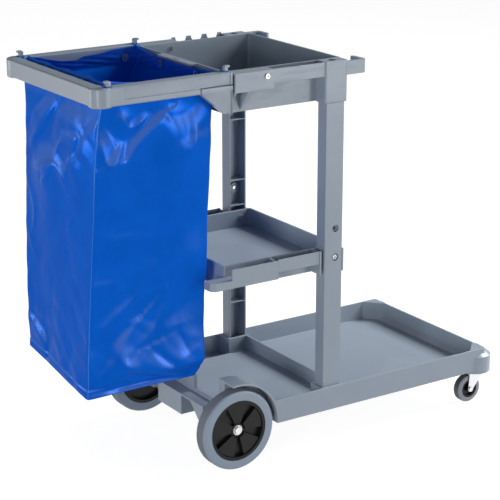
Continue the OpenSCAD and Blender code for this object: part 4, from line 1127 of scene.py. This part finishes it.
# %% Rows of the body
TILT, SWING, SWING_CURVE, WELT = 16 * MM, 17 * MM, 0.8, 2.2 * MM
HEM_START, HEM_STEP = 0.972, 1.6 * MM
STEADY, NECK_SLACK, FOOT_SLACK = 0.30, 0.24, 0.26
WAVES, NEAR_CRUMPLE, END_CRUMPLE, HIDDEN_CRUMPLE = 0.8, 0.55, 0.6, 0.7
NEAR_SEED, END_SEED, HIDDEN_SEED = 0.7, 2.9, 1.9
NECK_CALM, FOOT_CALM, FOOT_SHARE = 0.05, 0.02, 0.3


def face_push(x, y, z, outward, loose):
    """How far the waves, creases and folds push the points of a ring out, in metres."""
    near, end = facing(outward, 0, -1), facing(outward, -1, 0)
    hidden = facing(outward, 0, 1) + facing(outward, 1, 0)
    near_creases = NEAR_CRUMPLE * loose * crumple(x, z, NEAR_SEED)
    end_creases = END_CRUMPLE * loose * crumple(y, z, END_SEED)
    push = WAVES * slow_waves(x, y, z) + HIDDEN_CRUMPLE * loose * hidden * crumple(x + y, z, HIDDEN_SEED)
    push += near * (near_creases + folds(NEAR_RIDGES, NEAR_STEPS, NEAR_BULGES, x, z))
    return push + end * (end_creases + folds(END_RIDGES, END_STEPS, END_BULGES, y, z))


def body_row(s):
    """A ring of the hanging sheet, from the neck at s = 0 to the bottom edge at 1."""
    rear_x, front_x, near_y, far_y = rear_wall(s), front_wall(s), near_wall(s), far_wall(s)
    xy, outward, seam = ring(rear_x, front_x, near_y, far_y, CORNER)
    x, y = xy.T
    z = NECK_Z - s * BAG_LENGTH + TILT * s * y / far_y
    slack = max(math.exp(-(s / NECK_SLACK) ** 2), math.exp(-((1 - s) / FOOT_SLACK) ** 2))
    push = face_push(x, y, z, outward, STEADY + (1 - STEADY) * slack)
    settle = min(1, s / NECK_CALM) * min(1, (1 - s) / FOOT_CALM + FOOT_SHARE)
    push = push * settle + WELT * seam + (HEM_STEP if s > HEM_START else 0)
    back = (front_x - x) / (front_x - rear_x) * (far_y - y) / (far_y - near_y)
    xy[:, 0] -= SWING * s ** SWING_CURVE * back
    return np.column_stack([xy + outward * push[:, None], z])


BODY_STRETCHES, FOOT_STRETCH = [(0, 0.34, 48), (0.34, 0.62, 24), (0.62, 0.955, 40)], (0.955, 1, 14)
heights = [np.linspace(*stretch, endpoint=False) for stretch in BODY_STRETCHES]
heights.append(np.linspace(*FOOT_STRETCH))
rows += [body_row(s) for s in np.concatenate(heights)]
print("rows down to the bottom edge:", len(rows))

# %% Rows of the bottom, and the faces between all rows
BOTTOM_ROWS, BOTTOM_SAG, BOTTOM_RIPPLE, RIPPLE_WAVES = 7, 5 * MM, 1.5 * MM, 9
PIPING = 0.6
edge_row = rows[-1]
centre = edge_row.mean(axis=0)
for k in np.linspace(0, 1, BOTTOM_ROWS + 1)[1:-1]:
    shrunk = centre + (edge_row - centre) * (1 - k)
    sag = BOTTOM_SAG * math.sin(math.pi * min(1, 2 * k) / 2)
    shrunk[:, 2] -= sag - BOTTOM_RIPPLE * math.sin(RIPPLE_WAVES * k)
    rows.append(shrunk)

columns = len(edge_row)
seam = ring(-1, 1, -1, 1, CORNER)[2]
vertices = np.vstack(rows).tolist()
faces, piping = [], []
for r in range(len(rows) - 1):
    for c in range(columns):
        n = (c + 1) % columns
        quad = [(r, c), (r + 1, c), (r + 1, n), (r, n)]
        if all(spot in holes for spot in quad):
            continue
        if r >= MOUTH_ROWS and min(seam[c], seam[n]) > PIPING:
            piping.append(len(faces))
        faces.append([i * columns + j for i, j in quad])
faces.append([(len(rows) - 1) * columns + c for c in range(columns)])
print("rows:", len(rows), "columns:", columns, "faces of piping:", len(piping))

# %% [markdown]
# ## Straps
# A strap at each corner of the mouth carries the bag: an eye slips over the frame's hook, and a band runs
# from it across the frame's top and down inside the corner. Both are flat, so they are part of the sheet
# and get the same thickness.

# %% Straps with an eye over each hook
HOOKS = [(-553, 216, MOUTH_REAR), (-242, 209.5, MOUTH_FRONT)]
EYE_IN, EYE_OUT, EYE_STEPS, BAND_START = 7.4 * MM, 10 * MM, 24, 1.1
STRAP_HALF, STRAP_INSET, STRAP_DROP, STRAP_BEND = 4.5 * MM, 0.35 * CORNER, 24 * MM, 2 * MM
STRAP_LEVEL = FRAME_TOP + 1.4 * MM


def strap(hook, corner):
    """Points and faces of the eye round a hook and of the band to a corner of the mouth."""
    run = (corner - hook).normalized()
    cross = Vector((-run.y, run.x)) * STRAP_HALF
    points, quads = [], []
    for i in range(EYE_STEPS):
        turn = 2 * math.pi * i / EYE_STEPS
        ray = Vector((math.cos(turn), math.sin(turn)))
        points += [(*(hook + ray * EYE_IN), STRAP_LEVEL), (*(hook + ray * EYE_OUT), STRAP_LEVEL)]
        j = (i + 1) % EYE_STEPS
        quads.append([2 * i, 2 * i + 1, 2 * j + 1, 2 * j])
    band = len(points)
    spine = [(hook + run * EYE_IN * BAND_START, STRAP_LEVEL), (corner - run * STRAP_BEND, STRAP_LEVEL),
             (corner, STRAP_LEVEL - STRAP_BEND), (corner, STRAP_LEVEL - STRAP_DROP)]
    for spot, height in spine:
        points += [(*(spot - cross), height), (*(spot + cross), height)]
    for i in range(band, len(points) - 2, 2):
        quads.append([i, i + 1, i + 3, i + 2])
    return points, quads


for hook_x, hook_y, wall_x in HOOKS:
    for side in (-1, 1):
        inset = STRAP_INSET if wall_x == MOUTH_REAR else -STRAP_INSET
        corner = Vector((wall_x + inset, side * (MOUTH_HALF - STRAP_INSET)))
        points, quads = strap(Vector((hook_x * MM, side * hook_y * MM)), corner)
        faces += [[len(vertices) + i for i in quad] for quad in quads]
        vertices += points
print("faces of the sheet with its straps:", len(faces))

# %% [markdown]
# ## Sewing, painted sheen and thickness
# The rows become one mesh whose faces all point outwards. Before it gets its thickness, each corner of the
# sheet is given its pale value, a painted highlight: high where the vinyl faces up, on the folds and on
# the rolled hem.

# %% Sew the sheet
sheet_mesh = bpy.data.meshes.new("vinyl_bag")
sheet_mesh.from_pydata(vertices, [], faces)
for index in piping:
    sheet_mesh.polygons[index].material_index = 1
bag = add_object("vinyl_bag", sheet_mesh)
make_active(bag)
bpy.ops.object.mode_set(mode="EDIT")
bpy.ops.mesh.select_all(action="SELECT")
bpy.ops.mesh.normals_make_consistent(inside=False)
bpy.ops.object.mode_set(mode="OBJECT")

# %% Painted sheen: pale value of each corner of the sheet
# How strong the painted highlight is and how fast it rises with the upward slope; faces turned to the rear
# and the hem get less.
SHEEN, SHEEN_SLOPE, END_SHADE = 0.9, 0.26, 0.06
HEM_SHEEN, HEM_SLOPE, HEM_SHADE = 0.7, 0.5, 0.1


def paleness(v):
    """How much painted highlight a corner of the sheet gets, from 0 to 1: more where it faces up."""
    if v.co.z < NECK_Z:
        rise = (v.normal.z - END_SHADE * max(0, -v.normal.x)) / SHEEN_SLOPE
        return SHEEN * smooth(min(1, max(0, rise)))
    return HEM_SHEEN * smooth(min(1, max(0, (v.normal.z - HEM_SHADE) / HEM_SLOPE)))


pale_value = sheet_mesh.attributes.new("pale", "FLOAT", "POINT")
for v in sheet_mesh.vertices:
    pale_value.data[v.index].value = paleness(v)
print("paler corners of the sheet:", sum(item.value > 0.3 for item in pale_value.data))

# %% Thicken the sheet and hang it in the scene
VINYL = 1.0 * MM
wall = bag.modifiers.new("wall", "SOLIDIFY")
wall.thickness = VINYL
wall.offset = -1
bpy.ops.object.modifier_apply(modifier=wall.name)
bpy.ops.object.shade_smooth()
bag.data.materials.append(blue_vinyl)
bag.data.materials.append(piping_vinyl)
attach(bag, "cart")
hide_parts("refuse_bag")
print("bag faces:", len(bag.data.polygons))
